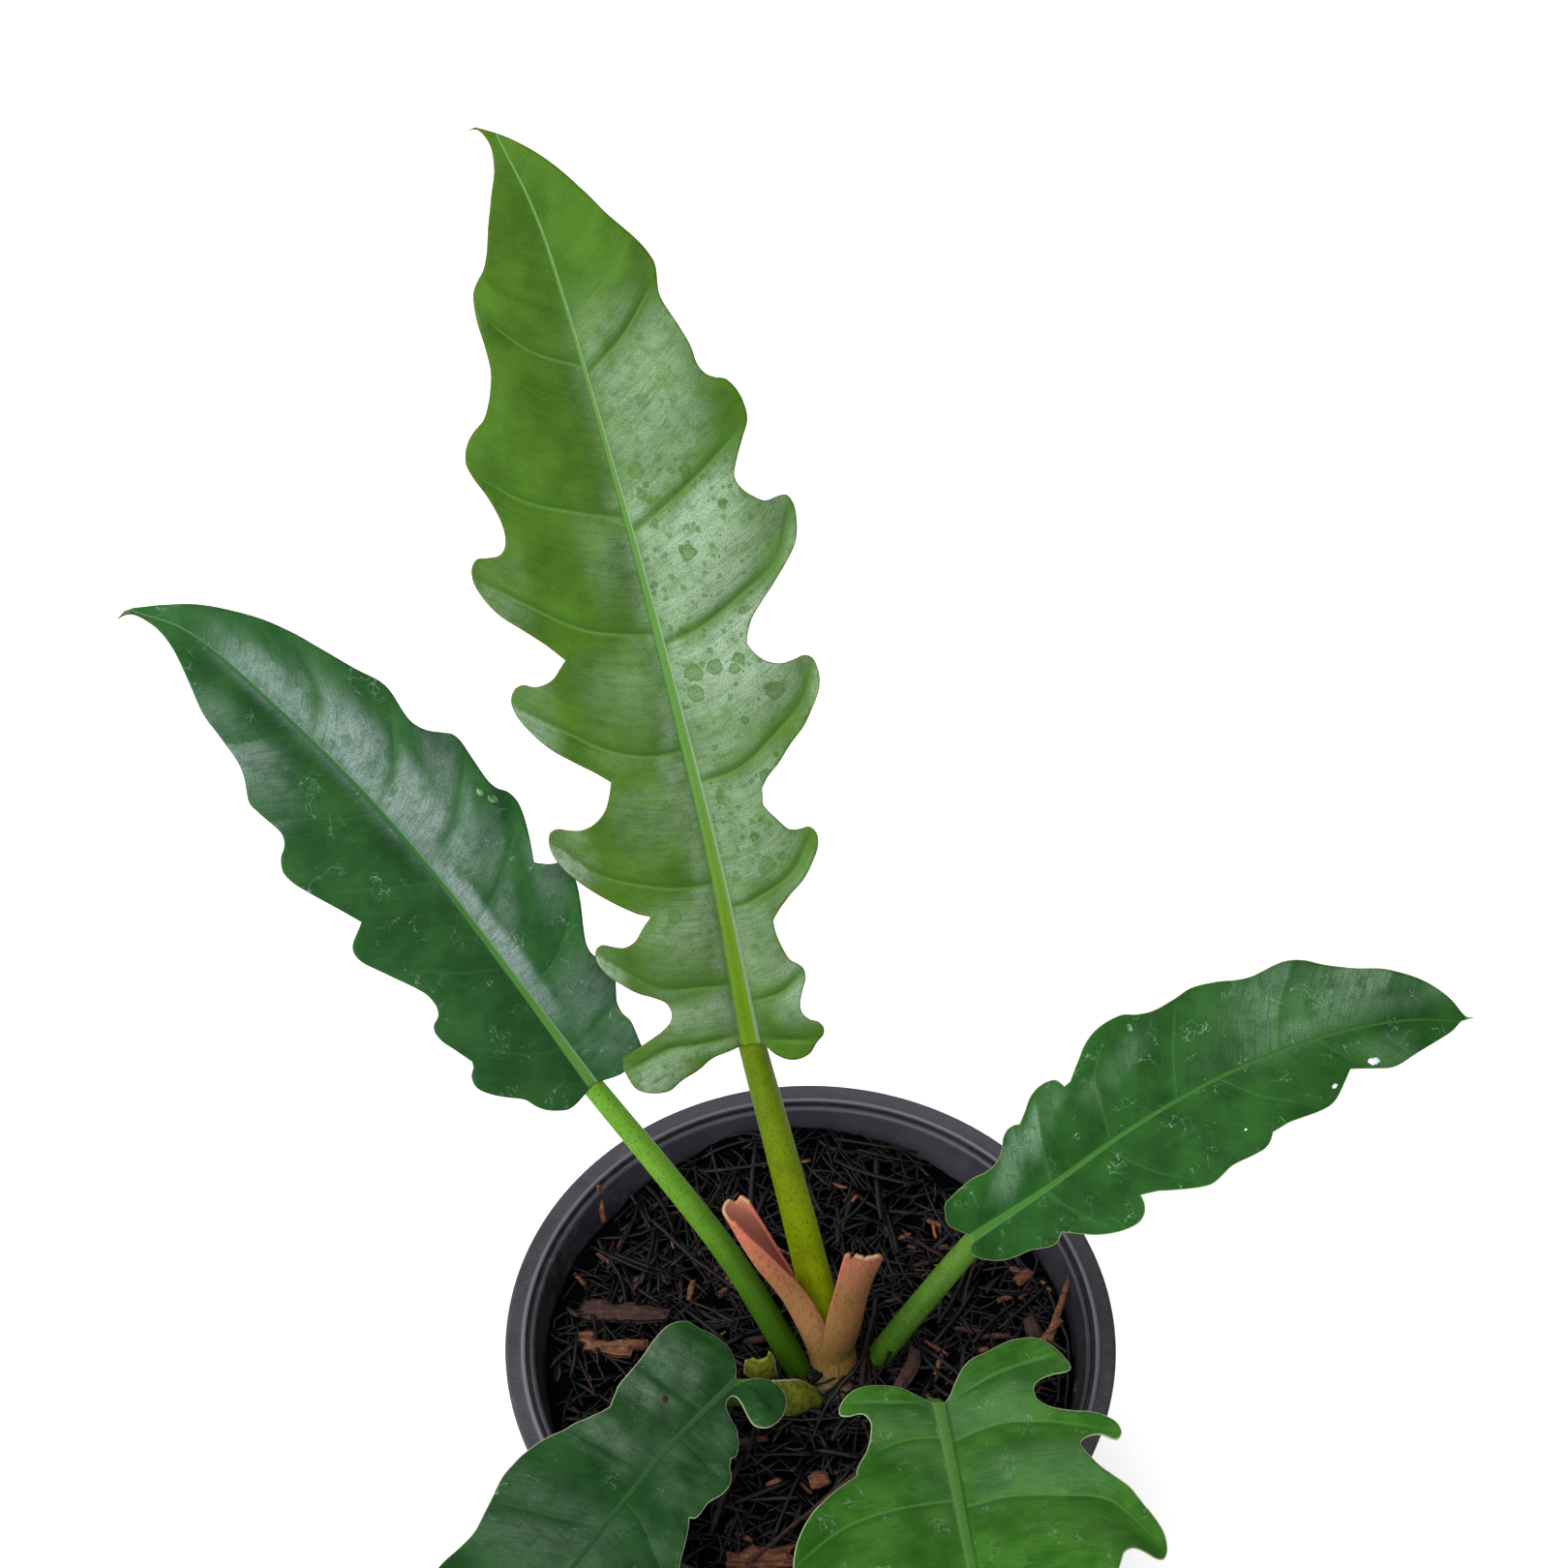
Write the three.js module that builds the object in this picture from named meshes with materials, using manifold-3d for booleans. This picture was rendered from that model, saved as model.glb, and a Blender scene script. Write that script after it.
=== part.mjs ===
// A philodendron with five long, wavy-lobed leaves in a round plastic nursery pot.
// Millimetres, +Z up. The origin is the middle of the pot's underside, and the front is towards -Y.

import * as THREE from 'three';
import { mergeVertices } from 'three/addons/utils/BufferGeometryUtils.js';
import Module from 'manifold-3d';

const wasm = await Module();
wasm.setup();

// Pot sizes
const POT_HEIGHT = 125;
const RIM_RADIUS = 75;
const SKIRT_DROP = 13.5;
const BASE_RADIUS = 52;
const SOIL_LINE_RADIUS = 65.2;
const WALL = 1.4;
const FLOOR = 1.8;
const POT_SIDES = 48;
const DRAIN_HOLES = 8;
const DRAIN_HOLE_RADIUS = 4.5;
const DRAIN_RING_RADIUS = 40;

// Plant and soil sizes
const GAP = 0.3;
const SOIL_HEIGHT = 112;
const BLADE_THICKNESS = 1.2;
const BLADE_CELL = 9;
const STALK_SIDES = 10;
const CROWN_CENTRE = new THREE.Vector2(4.5, -4.5);
const SHEATH_THICKNESS = 1;

// Colours
const colours = {
  pot: 0x37343c,
  soil: 0x1d1a1c,
  crown: 0x6a5a35,
  tallStalk: 0x829b32,
  leftStalk: 0x4b9128,
  rightStalk: 0x50823c,
  frontStalk: 0x4c7a35,
  tallLeaf: 0x5a8c3c,
  leftLeaf: 0x2d5c33,
  rightLeaf: 0x376a3a,
  frontLeftLeaf: 0x2f5e40,
  frontRightLeaf: 0x2c6e32,
  cataphyll: 0xb5835a,
  sheath: 0x82883c,
  redBark: 0x8a4630,
  orangeWood: 0xb87440,
  brownWood: 0x8b6348,
  tanWood: 0xa98a68,
};

// Each blade lies on its midrib, a curve of points from the stalk to the tip. It faces one way at the
// stalk and another at the tip, its two halves rise from the midrib by the fold angle, and they droop
// again by curl times the square of the reach. An outline point is [reach, station]: how far it is out
// from the midrib, and how far it is along it. Each stroke of an outline runs smoothly to the next
// notch, and left and right are as seen with the tip up and the upper face in view.
const leafShapes = {
  leaf_tall: {
    midrib: [
      [-14.5, 44, 187.5], [-22, 62.5, 228.5], [-30.5, 81, 263], [-38, 97.5, 290],
      [-47, 117, 318], [-57, 139, 345.5], [-62.5, 149.5, 357.5], [-70, 160.5, 368],
    ],
    facesAtStalk: [0.1, -0.85, 0.5],
    facesAtTip: [0.1, -0.85, 0.5],
    foldDegrees: 13,
    curl: 0.003,
    left: [
      [[0, -0.5], [6, -1], [10, -1.5], [14, -3.5], [18.5, -5], [22, -6.8], [27, -6.2], [30, -4.5],
       [31.5, -1], [32.5, 3.2]],
      [[29, 5], [25, 7], [21, 9.3], [18.5, 11.5], [17.7, 14], [18.5, 16.5], [21, 18.5], [24.5, 20.8],
       [28, 24], [31.5, 28], [33, 31.5], [32.5, 34], [30.8, 35], [28.5, 34.2], [26, 33.6], [23, 35],
       [20.5, 38], [18, 40.2]],
      [[21, 42], [25, 45.5], [29.5, 50], [33.5, 55], [36.5, 60], [37.5, 64], [36.5, 67], [34.5, 67.6],
        [32, 66.7], [29, 66.3], [25.5, 67.5], [22.5, 70], [20.5, 73.5], [19.5, 76]],
      [[22.5, 79.2], [27, 83.3], [31, 87.2], [34.5, 92], [37, 97], [37.3, 100.5], [35.5, 103.2],
       [33.5, 103.7], [31, 102.6], [28, 103], [26, 104], [24.5, 105.5], [22.5, 107.2]],
      [[26, 112], [30, 116.5], [34.5, 121.5], [37, 126], [38.2, 130], [37.8, 133], [36, 135], [33, 134.7],
        [30.5, 134.8], [28.8, 136.5], [28, 139.5], [28.2, 143], [29.5, 148], [31.5, 153], [32.2, 156.5],
        [31, 160], [28.5, 162.8], [25.5, 164.8], [23.3, 168], [21.5, 172], [20.6, 175], [20.3, 180],
        [20.3, 187.5], [19.2, 192.8], [17.5, 195], [15.5, 197], [13.8, 200], [11.2, 206], [7.5, 212.8],
        [4, 218.2], [2.4, 223.5], [3.5, 227.5], [6.1, 228.2]],
    ],
    right: [
      [[0, -0.3], [3, -1.5], [5, -4], [7.5, -5.8], [10, -6.4], [13.5, -5.4], [16, -2.5], [18, -0.5],
       [18.2, 1.5], [17, 3.5], [15.5, 4.2], [14, 6], [13.5, 8.5], [14.5, 12], [16, 15.5], [16, 18],
       [14.8, 19.6], [13.3, 20.8], [12, 24], [11, 28.5], [10.8, 32]],
      [[13, 35], [16, 38], [20, 41.5], [23, 45.5], [25, 49], [25.3, 51.5], [24, 53.3], [21, 53.5],
       [19, 54.2], [17, 57], [15, 60], [14.3, 61.5]],
      [[15, 65.5], [17, 68], [20, 70.5], [24, 74.5], [28, 78], [31, 82], [33.8, 87], [34.4, 90], [33.8, 93],
        [32, 94.2], [29.5, 94.2], [26, 94.2], [22.5, 96], [20.5, 98.5], [19.6, 100.5]],
      [[20.3, 102.5], [22, 105.5], [25, 108.5], [29, 112], [33, 116], [36.5, 120.5], [38, 125],
       [38.2, 128.5], [37.2, 130.5], [35, 131], [32, 131], [29.5, 132.8], [27.5, 135], [26.6, 137.8],
       [28, 141], [30.5, 145], [33, 149], [33.3, 152], [32.5, 156], [30.5, 159.2], [28.5, 160],
       [26.5, 161.5], [25.3, 164], [25, 168], [23.7, 173], [22, 178], [21.4, 181], [22.4, 187.2],
       [21.7, 190], [20, 193.5], [17.5, 197.2], [15.2, 200.5], [12.2, 206.2], [6.5, 216.8], [2.5, 222.5],
       [0, 225.2], [-3.5, 228.2]],
    ],
  },
  leaf_left: {
    midrib: [
      [-52.5, 34, 184.5], [-68.5, 42.5, 212], [-86.5, 53, 239.5], [-103.5, 63, 260],
      [-123, 74.5, 277], [-140, 84, 288.5], [-153.5, 90, 289.5],
    ],
    facesAtStalk: [0.25, -0.6, 0.75],
    facesAtTip: [0.1, -0.5, 0.85],
    foldDegrees: 18,
    curl: 0.006,
    left: [
      [[0, -0.5], [2.8, -0.8], [8.7, -0.3], [11.6, 2], [13.7, 4.4], [15.3, 7.3], [16.4, 10.5], [20.2, 15.2],
        [22.2, 17.9], [23.9, 21], [24.3, 23], [23.4, 25.4], [21.8, 26.4], [21.2, 27.6]],
      [[22.8, 33], [23.9, 36.5], [23.9, 39.3], [22.8, 41], [21.2, 41.8], [20, 44], [20, 48.2], [21.1, 51.4],
        [24.6, 58.8], [27.3, 65], [27.4, 67.6], [26.6, 69.4], [25.2, 70.7], [21.4, 73]],
      [[23.1, 77.9], [26.1, 86.4], [27.3, 91], [27.2, 94.5], [25.2, 97.6], [23.1, 98.8], [21.4, 101],
        [21.5, 108], [21.4, 111.4], [19.9, 113.8], [17.8, 116.7], [16.4, 119.6], [14.7, 126.7],
        [13.4, 132.9], [9.9, 140.2], [5.2, 149.1], [1.8, 156.4], [0.8, 161.4], [1.5, 163.1], [3.4, 164.4]],
    ],
    right: [
      [[0, -0.4], [3.6, -1.6], [7.4, -2.4], [11, -1.5], [15, 0.3]],
      [[15.9, 4.5], [16.6, 8.5], [16.1, 11.4], [16.6, 14.4], [18.5, 17.6], [20.3, 20.5], [20.6, 23.5],
        [19.7, 26.3], [18.6, 28.8], [18.6, 31.4], [20.4, 35.5], [23.9, 41.4], [26, 45.5], [27, 49],
        [26.2, 51.6], [24.5, 52.8], [22.8, 54.1], [20.4, 56.6]],
      [[23.1, 61.7], [26, 67.6], [26.6, 70], [26.2, 72.6], [24.5, 75.4], [23.9, 78.5], [24.6, 83.8],
        [25.4, 88.5], [25, 90.5], [23.4, 92.3], [20.7, 95.5], [19.6, 98.5], [19.8, 101.1], [21.2, 106.5],
        [21.2, 109.3], [19.2, 115.2], [16.9, 123.8], [15.4, 130.2], [13.1, 136.7], [8.9, 144.9],
        [4.5, 152.9], [2.4, 158.5], [0.6, 162.6], [-0.7, 164]],
    ],
  },
  leaf_right: {
    midrib: [
      [39.5, 12.5, 150], [57, 15.5, 167.5], [75.5, 20, 185.5], [96, 25, 200],
      [119, 30.5, 208], [138.5, 35.5, 207.5], [154, 39, 202.5],
    ],
    facesAtStalk: [-0.3, -0.45, 0.85],
    facesAtTip: [0, -0.45, 0.9],
    foldDegrees: 14,
    curl: 0.003,
    left: [
      [[0.5, -0.2], [4, -3], [6.3, -4], [8.5, -3.1], [10.6, -1.6], [11.2, 1], [11.8, 5.5], [12, 9],
        [11.5, 12.5], [11.8, 16.5], [13.8, 20.2], [15.8, 22.2], [17, 24.6], [17, 27], [16.4, 28.4]],
      [[18.3, 31.8], [20.3, 35], [21.1, 38.5], [20.8, 41], [19.9, 42.8], [18.5, 43.5], [17.3, 43.9]],
      [[17.4, 45.8], [20, 49.5], [22.5, 53], [24.2, 57], [24.7, 61], [24.2, 64.1], [22.5, 66.6],
       [21.1, 70.3], [21.4, 75.2], [22.1, 79], [20.8, 84.7], [19.4, 88.3], [18.8, 91.5], [19.7, 99],
       [18.9, 102.4], [16.1, 106.9], [13.9, 112.4], [12.6, 119.3], [10, 125.8], [7.8, 130.2], [5, 134.9],
       [2.2, 138], [1.2, 139.2], [1, 142]],
    ],
    right: [
      [[0.5, -0.3], [1.8, -2], [2.8, -2.4], [4.5, -1.5], [6, 0], [8.8, 4.3], [10, 7.5], [10.6, 10.5],
        [11, 13.5], [12.3, 17], [13.1, 19.5], [12.9, 21.3], [11.4, 23.1]],
      [[14.5, 27.3], [17, 30.8], [19.3, 35.5], [20.3, 39.5], [20.3, 42], [19.3, 44.3], [17.5, 45.7],
        [15.3, 45.9]],
      [[16.8, 50.5], [18.5, 53.8], [21.3, 60], [22.1, 63.3], [21.5, 66.5], [20.7, 69.5], [20.8, 76.3],
        [20.5, 79.6], [19.3, 81.6], [17.8, 82.8]],
      [[17.1, 87.4], [17.1, 95.2], [16.5, 98.2], [15.3, 100.2], [12.5, 102.9], [9.6, 105.5]],
      [[10.8, 111.3], [11.3, 114.7], [11, 117.2], [8.6, 123], [6.9, 126.9], [2.8, 134.7], [0, 138.2],
        [-0.3, 139.5]],
    ],
  },
  leaf_front_left: {
    midrib: [
      [-19.5, -14, 125], [-33.5, -34, 132], [-47.5, -57.5, 138], [-60, -79, 142],
      [-78, -103, 134], [-93, -122, 115], [-101, -133, 95],
    ],
    facesAtStalk: [0.1, -0.1, 1],
    facesAtTip: [-0.3, -0.5, 0.8],
    foldDegrees: 10,
    curl: 0.002,
    left: [
      [[0.8, -2.5], [2.3, -4.7], [4, -6.7], [6.5, -7.8], [9, -7.8], [11.5, -6.8], [13.8, -4.3],
       [15.2, -0.8], [15.5, 2], [15, 5], [13.7, 6.2], [11.7, 6.8], [9.7, 6.1], [7.3, 4.5], [5, 3],
       [3.2, 2.2], [2.3, 2.6], [2.1, 4], [2.8, 6], [4.7, 7.7], [9.3, 10.8], [11.3, 13], [13, 15.3],
       [14.4, 18.5], [14, 20.3]],
      [[15.3, 23], [17.3, 25.4], [18.4, 29], [18, 32], [16.9, 35.5], [17, 39.3], [16.7, 41.3],
       [15.5, 42.1]],
      [[17, 45], [18.3, 48.3], [21, 56], [22.8, 61.5], [23.4, 66.5], [22.5, 70], [20.5, 72]],
      [[21.3, 77], [22.6, 84], [22.8, 89], [21, 92.5], [18.8, 94]],
      [[19, 99], [19.4, 105], [18.5, 110], [16.2, 113.5]],
      [[15.6, 120], [13.4, 129], [10, 139], [6, 149], [2.5, 158], [0.6, 164], [0, 167]],
    ],
    right: [
      [[0.3, -2.7], [1.7, -4.7], [4, -6.7], [6.3, -8], [10, -8.1], [12.7, -7.7], [15, -6.5], [18.7, -5.7],
        [20.3, -3.3], [21.3, 0.5], [20.8, 6.7], [20, 11.3], [19.2, 17], [19, 22], [18, 24.7], [16.8, 28.3]],
      [[17.7, 31.3], [19.7, 35.7], [21.7, 40.7], [24, 45.3], [25.6, 50.5], [26, 56], [25.8, 60],
        [24.5, 66.7], [23.7, 72], [23.2, 76], [23.6, 81], [24.4, 87], [24.2, 91.5], [22.4, 95.5],
        [20.6, 97.5]],
      [[20.6, 103], [20.7, 108.5], [19.2, 113.5], [17, 117]],
      [[15.6, 124], [12.8, 133], [9.3, 143], [5.6, 152], [2.4, 160], [0.6, 165]],
    ],
  },
  leaf_front_right: {
    midrib: [
      [30, -25, 138], [32.5, -46, 144], [35.5, -77, 155], [39.5, -104, 158.5],
      [45, -129, 149], [51, -148, 128], [55, -158, 100],
    ],
    facesAtStalk: [0, 0.1, 1],
    facesAtTip: [0, -1, 0.4],
    foldDegrees: 9,
    curl: 0.001,
    left: [
      [[1.5, 1.8], [3.1, 0], [4.1, -2.1], [5.6, -5], [7.4, -7.9], [9.9, -10.4], [13.4, -11.6], [17, -13.1],
        [19.9, -14.1], [23.4, -14.4], [27, -13.7], [29.9, -11.4], [32, -8.2], [33.2, -4.6], [32.9, -1.8],
        [31.3, -0.5], [28.4, -0.4], [25.6, 0.6], [23.4, 2.9], [22.6, 5.4], [23.2, 7.9], [24.9, 9.6],
        [27.7, 11.1], [31.3, 12.5], [34.9, 13.6], [38.1, 15.4], [40.4, 17.8], [41, 20.5], [39.5, 22.1],
        [38.2, 21.4], [36.6, 20], [34.1, 19.4], [32, 20.4], [30.8, 22.3], [30.7, 24.6], [31.3, 28.6],
        [33.1, 32.9], [35.9, 37.1], [38.8, 42.1], [40.9, 47.9], [43.1, 53.9], [44.3, 59.3], [43.8, 63.6],
        [42.2, 65.9], [40.6, 65.6], [39.1, 63.9], [36.5, 62.3], [34.1, 63.6], [33.1, 65.7], [30.5, 71]],
      [[33, 76], [36.5, 83], [38.6, 90], [38.4, 94.5], [36.5, 97], [33.5, 96.6], [30.5, 98], [28, 102]],
      [[30, 107], [32, 113], [32.6, 118], [31.4, 122], [28.5, 123.5], [25.5, 126], [23.8, 130]],
      [[23.6, 135], [21.8, 141], [17.5, 149], [11.5, 157], [6, 164], [2, 169.5], [0, 172]],
    ],
    right: [
      [[0.5, 2.1], [2.6, 0.7], [5.5, -1.4], [8.7, -3.4], [12.3, -4.1], [15.9, -4.1], [19.4, -3],
        [22.6, -0.4], [24.3, 2.9], [23.9, 5], [21.9, 5.5], [20.1, 5], [18.7, 5.2], [17.8, 7], [17.4, 9.3],
        [18, 12.9], [19.4, 17.1], [21.6, 20.7], [22.6, 23.6], [22.8, 26.1]],
      [[24.4, 28.6], [27.3, 32.1], [30.9, 36.4], [34.4, 40.7], [37.3, 45], [39.4, 49.2], [40.5, 53.6],
        [40.8, 57.5], [39.5, 60.5], [36.8, 61.3], [34.2, 62.3], [32, 65.5], [31, 69]],
      [[33.5, 74], [36.8, 80.5], [38.6, 87], [38, 91.5], [35.8, 93.6], [32.8, 93.6], [30, 95.5],
       [28, 99.5]],
      [[30, 105], [31.8, 111], [32, 116], [30.4, 119.5], [27.6, 121], [25, 124], [23.6, 128]],
      [[23.2, 134], [21, 141], [16.5, 149], [10.8, 157], [5.6, 164], [1.8, 169.5]],
    ],
  },
};

// Each stalk runs through its points from inside the crown to its blade, and tapers on the way.
const stalkShapes = {
  petiole_tall: { path: [[7.3, -2, 105], [-3, 20.9, 146], [-14.6, 43.7, 186.8]], foot: 4.9, top: 3.3 },
  petiole_left: {
    path: [[1.5, -5, 101], [-7.7, 2.8, 120.3], [-22.9, 15.3, 144.9], [-52.2, 33.8, 184.1]],
    foot: 3.5,
    top: 2.7,
  },
  petiole_right: {
    path: [[9, -4, 98], [15.3, 1, 108.4], [25.8, 5.8, 126.8], [39, 12.4, 149.4]],
    foot: 3.3,
    top: 3,
  },
  petiole_front_left: {
    path: [[1, -6, 106], [-5, -10.6, 114], [-11.8, -12.6, 118.8], [-18.8, -13.6, 124.4]],
    foot: 4.2,
    top: 3.2,
  },
  petiole_front_right: {
    path: [[8, -8, 98], [17, -17.5, 108.5], [23.5, -21.8, 119], [27, -23.6, 128], [29.5, -24.4, 136.6]],
    foot: 3.4,
    top: 2.9,
  },
};

// Turns a closed geometry into a solid that can be joined and cut.
function toSolid(geometry) {
  const bare = geometry.clone();
  bare.deleteAttribute('normal');
  bare.deleteAttribute('uv');
  const merged = mergeVertices(bare, 1e-4);
  return new wasm.Manifold(new wasm.Mesh({
    numProp: 3,
    vertProperties: new Float32Array(merged.attributes.position.array),
    triVerts: new Uint32Array(merged.index.array),
  }));
}

// Turns a solid back into a geometry.
function toGeometry(solid) {
  const mesh = solid.getMesh();
  const geometry = new THREE.BufferGeometry();
  geometry.setAttribute('position', new THREE.BufferAttribute(new Float32Array(mesh.vertProperties), 3));
  geometry.setIndex(new THREE.BufferAttribute(new Uint32Array(mesh.triVerts), 1));
  return geometry;
}

function cutBy(geometry, cutters) {
  let solid = toSolid(geometry);
  for (const cutter of cutters) {
    solid = solid.subtract(toSolid(cutter));
  }
  return toGeometry(solid);
}

function joined(first, second) {
  return toGeometry(toSolid(first).add(toSolid(second)));
}

function vectors(points) {
  return points.map((point) => new THREE.Vector3(...point));
}

function smoothCurve(points) {
  return new THREE.CatmullRomCurve3(vectors(points), false, 'catmullrom', 0.5);
}

function indexedGeometry(points, faces) {
  const geometry = new THREE.BufferGeometry();
  geometry.setFromPoints(points);
  geometry.setIndex(faces.flat());
  return geometry;
}

// Pot

function potProfile() {
  const rimTop = POT_HEIGHT;
  const skirtFoot = POT_HEIGHT - SKIRT_DROP;
  const soilLine = SOIL_LINE_RADIUS;
  return [
    [0, 0], [BASE_RADIUS - 1, 0], [BASE_RADIUS, 1], [soilLine + WALL, SOIL_HEIGHT - 2],
    [soilLine + 3.4, rimTop - 4.2], [RIM_RADIUS - 2.4, rimTop - 3], [RIM_RADIUS - 3, skirtFoot],
    [RIM_RADIUS - 1.6, skirtFoot], [RIM_RADIUS, rimTop - 0.9], [RIM_RADIUS - 0.6, rimTop - 0.3],
    [RIM_RADIUS - 4.4, rimTop], [RIM_RADIUS - 5, rimTop - 0.8], [RIM_RADIUS - 5.7, rimTop - 0.3],
    [RIM_RADIUS - 6.4, rimTop - 1.2], [soilLine, SOIL_HEIGHT], [BASE_RADIUS - WALL, FLOOR + 1],
    [BASE_RADIUS - WALL - 1, FLOOR], [0, FLOOR],
  ].map((point) => new THREE.Vector2(...point));
}

function drainHole(index) {
  const angle = (2 * Math.PI * index) / DRAIN_HOLES;
  const hole = new THREE.CylinderGeometry(DRAIN_HOLE_RADIUS, DRAIN_HOLE_RADIUS, 4 * FLOOR, 12);
  hole.rotateX(Math.PI / 2);
  hole.translate(DRAIN_RING_RADIUS * Math.cos(angle), DRAIN_RING_RADIUS * Math.sin(angle), FLOOR / 2);
  return hole;
}

// A lathe turns about Y, so its result is stood up to turn about Z.
function turned(profile, sides) {
  const geometry = new THREE.LatheGeometry(profile, sides);
  geometry.rotateX(Math.PI / 2);
  return geometry;
}

function potGeometry() {
  const holes = Array.from({ length: DRAIN_HOLES }, (_, index) => drainHole(index));
  return cutBy(turned(potProfile(), POT_SIDES), holes);
}

// Stalks and crown

// A tapered, round stalk. Grow makes it thicker all round, for cutting its neighbours clear of it.
function stalkGeometry(shape, grow = 0) {
  const curve = smoothCurve(shape.path);
  const steps = 4 * (shape.path.length - 1);
  const geometry = new THREE.CylinderGeometry(shape.top + grow, shape.foot + grow, 1, STALK_SIDES, steps);
  const place = geometry.attributes.position;
  const forward = new THREE.Vector3(0, 1, 0);
  for (let index = 0; index < place.count; index += 1) {
    const share = place.getY(index) + 0.5;
    const along = curve.getTangentAt(share);
    const across = new THREE.Vector3().crossVectors(forward, along).normalize();
    const third = new THREE.Vector3().crossVectors(across, along);
    const point = curve.getPointAt(share);
    point.addScaledVector(across, place.getX(index));
    point.addScaledVector(third, place.getZ(index));
    point.addScaledVector(along, grow * (Number(share === 1) - Number(share === 0)));
    place.setXYZ(index, point.x, point.y, point.z);
  }
  return geometry;
}

function crownGeometry(grow = 0) {
  const profile = [
    [0, 90 - grow], [5 + grow, 91 - grow], [8 + grow, 97], [8.4 + grow, 106], [6.5 + grow, 111.4 + grow],
    [0, 112.6 + grow],
  ].map((point) => new THREE.Vector2(...point));
  const geometry = turned(profile, 14);
  geometry.translate(CROWN_CENTRE.x, CROWN_CENTRE.y, 0);
  return geometry;
}

// Where stalks crowd together at the crown, each one gives way to those listed before it.
function petioleGeometry(name) {
  const names = Object.keys(stalkShapes);
  const before = names.slice(0, names.indexOf(name));
  const earlier = before.map((other) => stalkGeometry(stalkShapes[other], GAP));
  return cutBy(stalkGeometry(stalkShapes[name]), [crownGeometry(GAP), ...earlier]);
}

// Soil

function soilGeometry() {
  const wallSlope = (SOIL_LINE_RADIUS - BASE_RADIUS + WALL) / (SOIL_HEIGHT - FLOOR - 1);
  const foot = FLOOR + GAP;
  const profile = [
    [0, foot], [BASE_RADIUS - WALL - 1 - GAP, foot], [BASE_RADIUS - WALL - GAP + wallSlope, FLOOR + 2],
    [SOIL_LINE_RADIUS - GAP, SOIL_HEIGHT - 0.2], [0, SOIL_HEIGHT],
  ].map((point) => new THREE.Vector2(...point));
  const stalks = Object.values(stalkShapes).map((shape) => stalkGeometry(shape, GAP));
  return cutBy(turned(profile, POT_SIDES), [crownGeometry(GAP), ...stalks]);
}

// Blades

function outlinePoints(leaf) {
  const right = leaf.right.flat().map(([reach, station]) => new THREE.Vector2(reach, station));
  const left = leaf.left.flat().map(([reach, station]) => new THREE.Vector2(-reach, station));
  const loop = [...right, ...left.reverse()];
  return loop.filter((point, index) => {
    const next = loop[(index + 1) % loop.length];
    return point.distanceTo(next) > 0.6;
  });
}

function insideOutline(point, outline) {
  let inside = false;
  outline.forEach((start, index) => {
    const end = outline[(index + 1) % outline.length];
    const spans = (start.y > point.y) !== (end.y > point.y);
    if (spans && point.x < start.x + ((end.x - start.x) * (point.y - start.y)) / (end.y - start.y)) {
      inside = !inside;
    }
  });
  return inside;
}

function distanceToOutline(point, outline) {
  const distances = outline.map((start, index) => {
    const side = outline[(index + 1) % outline.length].clone().sub(start);
    const share = THREE.MathUtils.clamp(point.clone().sub(start).dot(side) / side.lengthSq(), 0, 1);
    return start.clone().addScaledVector(side, share).distanceTo(point);
  });
  return Math.min(...distances);
}

// Rows of points inside the outline, with every second row half a cell across.
function innerPoints(outline, cell) {
  const box = new THREE.Box2().setFromPoints(outline);
  const rowHeight = cell * Math.sqrt(0.75);
  const points = [];
  for (let row = 0; row * rowHeight < box.max.y - box.min.y; row += 1) {
    const columns = Math.ceil((box.max.x - box.min.x) / cell);
    for (let column = -columns; column <= columns; column += 1) {
      const reach = (column + (row % 2) / 2) * cell;
      const point = new THREE.Vector2(reach, box.min.y + row * rowHeight);
      if (insideOutline(point, outline) && distanceToOutline(point, outline) > 0.45 * cell) {
        points.push(point);
      }
    }
  }
  return points;
}

function turnOf(a, b, c) {
  return (b.x - a.x) * (c.y - a.y) - (b.y - a.y) * (c.x - a.x);
}

// True if point d lies inside the circle through a, b and c, which run anticlockwise.
function insideCircle(a, b, c, d) {
  const rows = [a, b, c].map((point) => {
    const x = point.x - d.x;
    const y = point.y - d.y;
    return [x, y, x * x + y * y];
  });
  const [p, q, r] = rows;
  const sum = p[0] * (q[1] * r[2] - q[2] * r[1])
    - p[1] * (q[0] * r[2] - q[2] * r[0])
    + p[2] * (q[0] * r[1] - q[1] * r[0]);
  return sum > 1e-6;
}

// Swaps the shared edge of each pair of triangles until none are thinner than they need to be.
function swapThinPairs(points, faces) {
  let changed = true;
  while (changed) {
    changed = false;
    const owners = new Map();
    faces.forEach((face, index) => {
      face.forEach((corner, place) => {
        owners.set(`${corner} ${face[(place + 1) % 3]}`, { index, far: face[(place + 2) % 3] });
      });
    });
    const touched = new Set();
    for (const [key, owner] of owners) {
      const [start, end] = key.split(' ').map(Number);
      const other = owners.get(`${end} ${start}`);
      if (!other || touched.has(owner.index) || touched.has(other.index)) {
        continue;
      }
      if (insideCircle(points[start], points[end], points[owner.far], points[other.far])) {
        faces[owner.index] = [owner.far, start, other.far];
        faces[other.index] = [other.far, end, owner.far];
        touched.add(owner.index);
        touched.add(other.index);
        changed = true;
      }
    }
  }
}

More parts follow.
